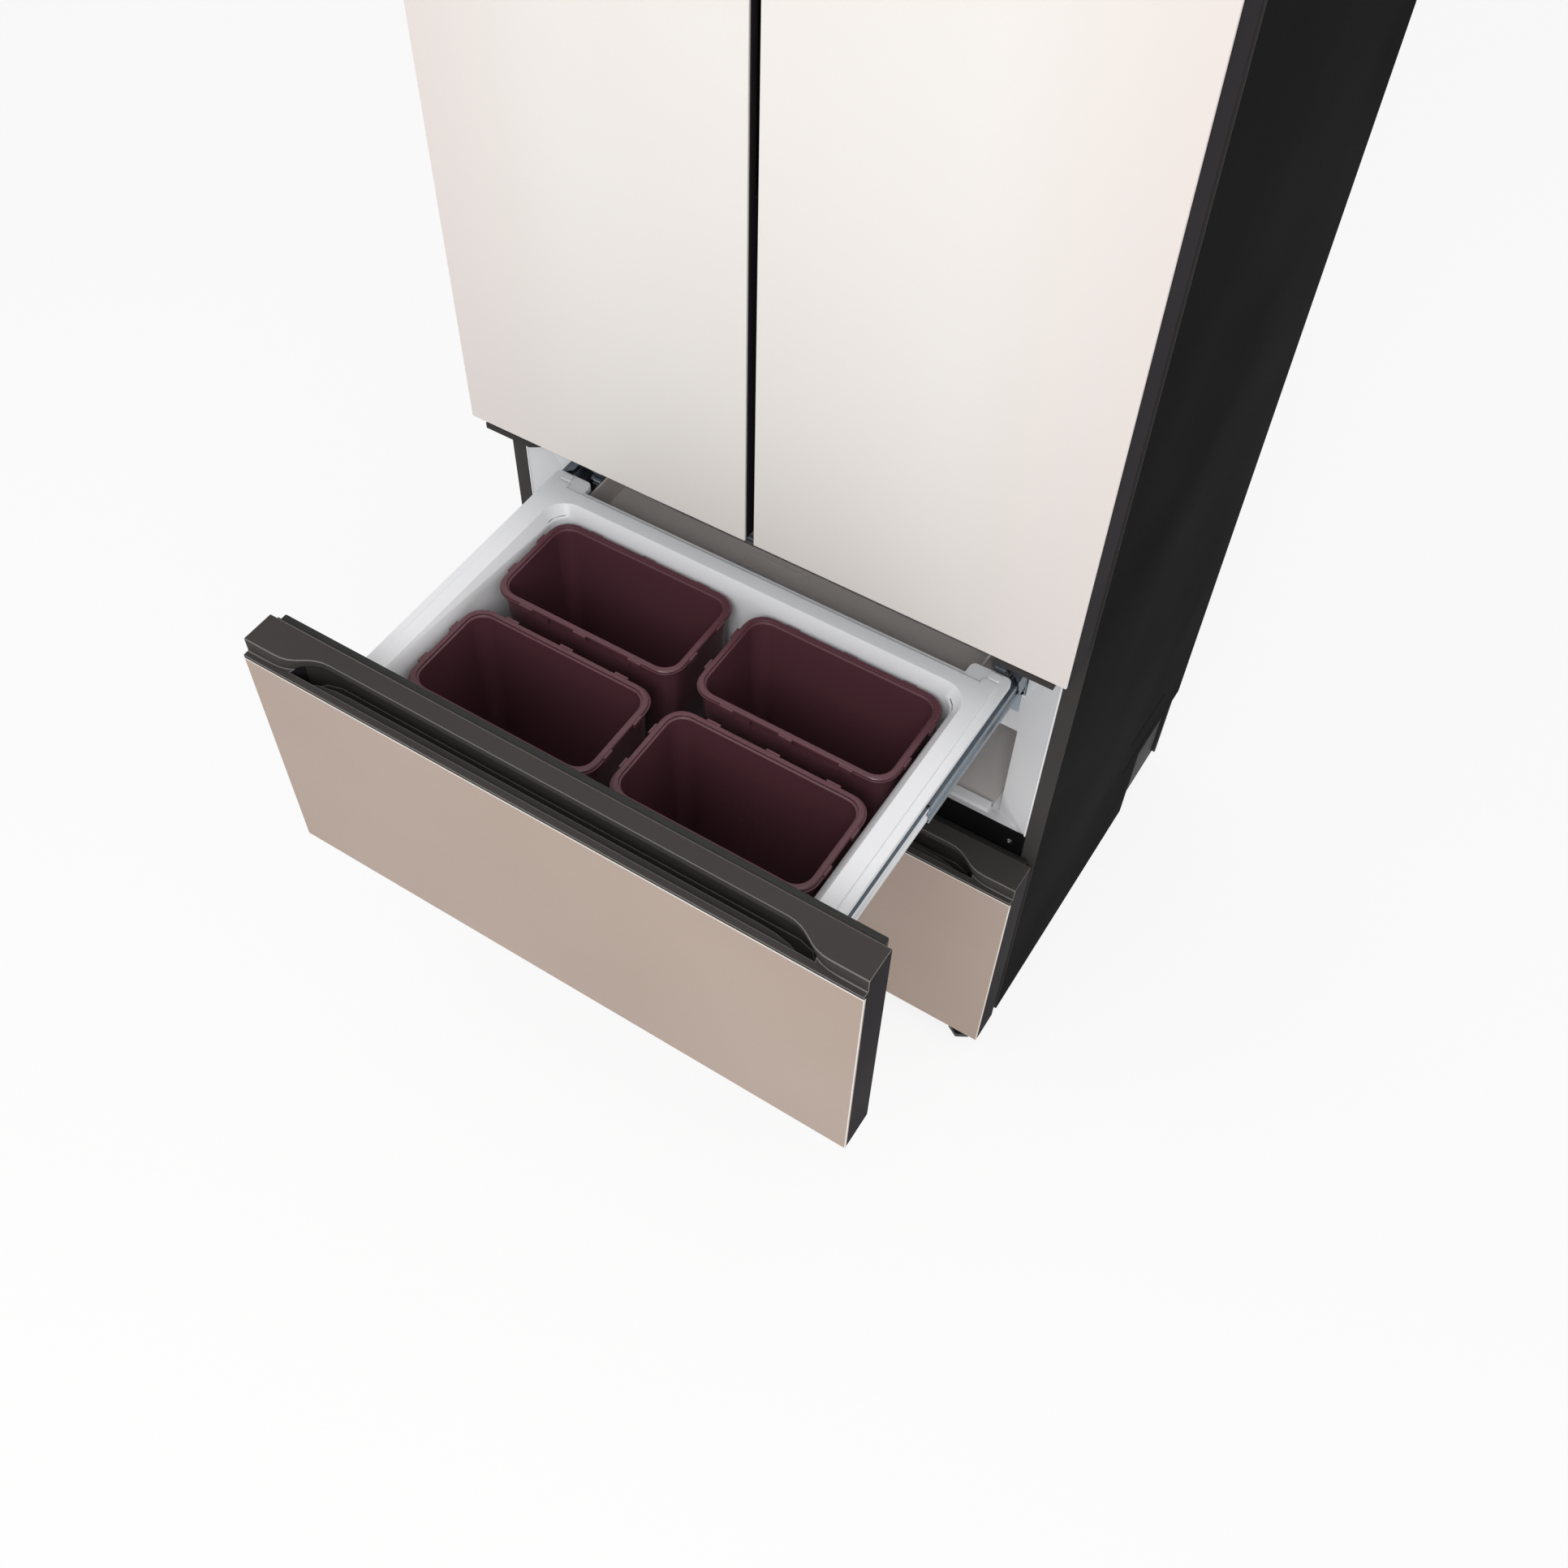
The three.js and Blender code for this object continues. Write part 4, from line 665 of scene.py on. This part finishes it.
def makeDeckField(setup, level):
    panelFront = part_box(f"{level}_drawer_panel")[0].y
    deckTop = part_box(f"{level}_drawer_tub")[1].z - setup["belowRim"]
    x = (setup["left"] + setup["right"]) / 2
    y = panelFront + setup["front"] + setup["depth"] / 2
    clearSelection()
    bpy.ops.mesh.primitive_plane_add(size=1, location=(x, y, deckTop + setup["lift"]))
    field = bpy.context.object
    field.name = f"{level}DeckField"
    field.scale = (setup["right"] - setup["left"], setup["depth"], 1)
    applyPlace(field)
    editAll(field)
    bpy.ops.mesh.bevel(offset=setup["corner"], segments=setup["cornerSteps"], affect="VERTICES")
    bpy.ops.mesh.select_all(action="SELECT")
    extrude(0, 0, setup["rise"])
    bpy.ops.mesh.inset(thickness=setup["wall"])
    extrude(0, 0, -setup["rise"] * setup["pressed"])
    leaveEdit()
    facesOut(field)
    settle(field, "coolingMetalPaintedLight", f"{level}_drawer")


for level in levels:
    makeDeckField(deckField, level)
print("deck fields pressed")

# bent nose at the front end of each fixed slide member
slideNose = {
    "reach": 0.030,
    "overlap": 0.0019,  # over the slide member that carries it
    "rise": 0.0056,  # above the middle slide member
    "sheet": 0.0016,
    "flange": 0.0110,
    "flangeTaper": 0.7,
    "webHeight": 0.030,
    "slant": 0.010,
    "edge": 0.0004,
}


def makeSlideNose(setup, level):
    slideLow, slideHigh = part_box(f"{level}_outer_slide_right")
    outer, front = slideHigh.x, slideLow.y + setup["overlap"]
    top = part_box(f"{level}_middle_slide_right")[1].z + setup["rise"]
    low = (outer - setup["sheet"], front - setup["reach"], top - setup["webHeight"])
    nose = cubeAt(f"{level}SlideNoseRight", low, (outer, front, top))
    selectFaces(nose, lambda centre, normal: normal.z > facing)
    extrude(0, 0, setup["sheet"])
    leaveEdit()
    selectFaces(nose, lambda centre, normal: normal.x < -facing and centre.z > top)
    extrude(-setup["flange"], 0, 0)
    bpy.ops.transform.resize(value=(1, setup["flangeTaper"], 1), center_override=(0, front, 0))
    leaveEdit()
    halfDown, halfOut = top - setup["webHeight"] / 2, front - setup["reach"] / 2
    selectPoints(nose, lambda point: point.z < halfDown and point.y < halfOut)
    bpy.ops.transform.translate(value=(0, setup["slant"], 0))  # the web's lower corner is cut back
    leaveEdit()
    roundEdges(nose, setup["edge"], edgeWork)
    other = copyOf(nose, f"{level}SlideNoseLeft", mirrorX)
    facesOut(other)
    for piece in (nose, other):
        settle(piece, "zincSteel", "cabinet")


for level in levels:
    makeSlideNose(slideNose, level)
print("slide noses bent")

# lid lugs, and the lower ring around the corners, of each food container; heights go down from the rim
rimSetup = {
    "radius": 0.026,  # of the container's corners
    "ringOut": 0.0017,
    "ringTop": 0.0036,
    "ringLow": 0.0056,
    "ringSteps": 6,
    "longEnd": 0.036,  # how far the ring runs on along the long and the short sides
    "shortEnd": 0.016,
    "endFacing": 0.99,
    "closeTo": 0.0001,
    "lugOut": 0.0027,
    "lugTop": 0.0010,
    "lugLow": 0.0078,
    "longLugs": (-0.30, 0, 0.30),  # places along the long side, of its length
    "longWidth": 0.018,
    "shortLugs": (-0.20, 0.20),
    "shortWidth": 0.015,
    "sink": 0.0006,  # into the container's wall
    "clear": 0.0005,
    "edge": 0.0005,
}


def makeCornerRing(setup, halfX, halfY, room):
    radius = setup["radius"]
    turnX, turnY = halfX - radius, halfY - radius
    inner, outer = radius - setup["sink"], radius + min(setup["ringOut"], room)
    clearSelection()
    bpy.ops.mesh.primitive_plane_add(size=1, location=(0, 0, 0))
    ring = bpy.context.object
    ring.name = "cornerRing"
    ring.scale = (outer - inner, setup["ringLow"] - setup["ringTop"], 1)
    ring.rotation_euler = (radians(90), 0, 0)
    ring.location = (turnX + (inner + outer) / 2, turnY, -(setup["ringTop"] + setup["ringLow"]) / 2)
    applyPlace(ring)
    editAll(ring)
    bpy.ops.mesh.spin(steps=setup["ringSteps"], angle=radians(-90), center=(turnX, turnY, 0), axis=(0, 0, 1))
    leaveEdit()
    facesOut(ring)
    endX, endY = turnX + setup["closeTo"], turnY + setup["closeTo"]
    square = setup["endFacing"]
    selectFaces(ring, lambda centre, normal: abs(normal.y) > square and centre.y < endY)
    extrude(0, -setup["shortEnd"], 0)
    leaveEdit()
    selectFaces(ring, lambda centre, normal: abs(normal.x) > square and centre.x < endX and centre.y > turnY)
    extrude(-setup["longEnd"], 0, 0)
    leaveEdit()
    facesOut(ring)
    return ring


def makeLugs(setup, halfX, halfY, room):
    bottom, top = -setup["lugLow"], -setup["lugTop"]
    lugs = []
    for edge in (-1, 1):
        out = min(setup["lugOut"], room) if edge > 0 else setup["lugOut"]
        near, far = sorted((edge * (halfY - setup["sink"]), edge * (halfY + out)))
        for along in setup["longLugs"]:
            x, half = along * 2 * halfX, setup["longWidth"] / 2
            lugs.append(cubeAt("lug", (x - half, near, bottom), (x + half, far, top)))
        near, far = sorted((edge * (halfX - setup["sink"]), edge * (halfX + setup["lugOut"])))
        for along in setup["shortLugs"]:
            y, half = along * 2 * halfY, setup["shortWidth"] / 2
            lugs.append(cubeAt("lug", (near, y - half, bottom), (far, y + half, top)))
    return lugs


def makeRimPieces(setup, name):
    low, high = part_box(name)
    halfX, halfY = (high.x - low.x) / 2, (high.y - low.y) / 2
    room = doorLine - high.y - setup["clear"]  # a lifted container passes the door fronts
    rings = [makeCornerRing(setup, halfX, halfY, room)]
    for flips in ((-1, 1), (1, -1), (-1, -1)):
        other = copyOf(rings[0], "cornerRing", Matrix.Diagonal((*flips, 1, 1)))
        facesOut(other)
        rings.append(other)
    rim = joined(rings + makeLugs(setup, halfX, halfY, room), name + "_rimLugs")
    rim.location = ((low.x + high.x) / 2, (low.y + high.y) / 2, high.z)
    applyPlace(rim)
    roundEdges(rim, setup["edge"], edgeWork)
    settle(rim, "burgundyBox", bodyOf[name])


for name in boxNames:
    makeRimPieces(rimSetup, name)
print("container lugs added")
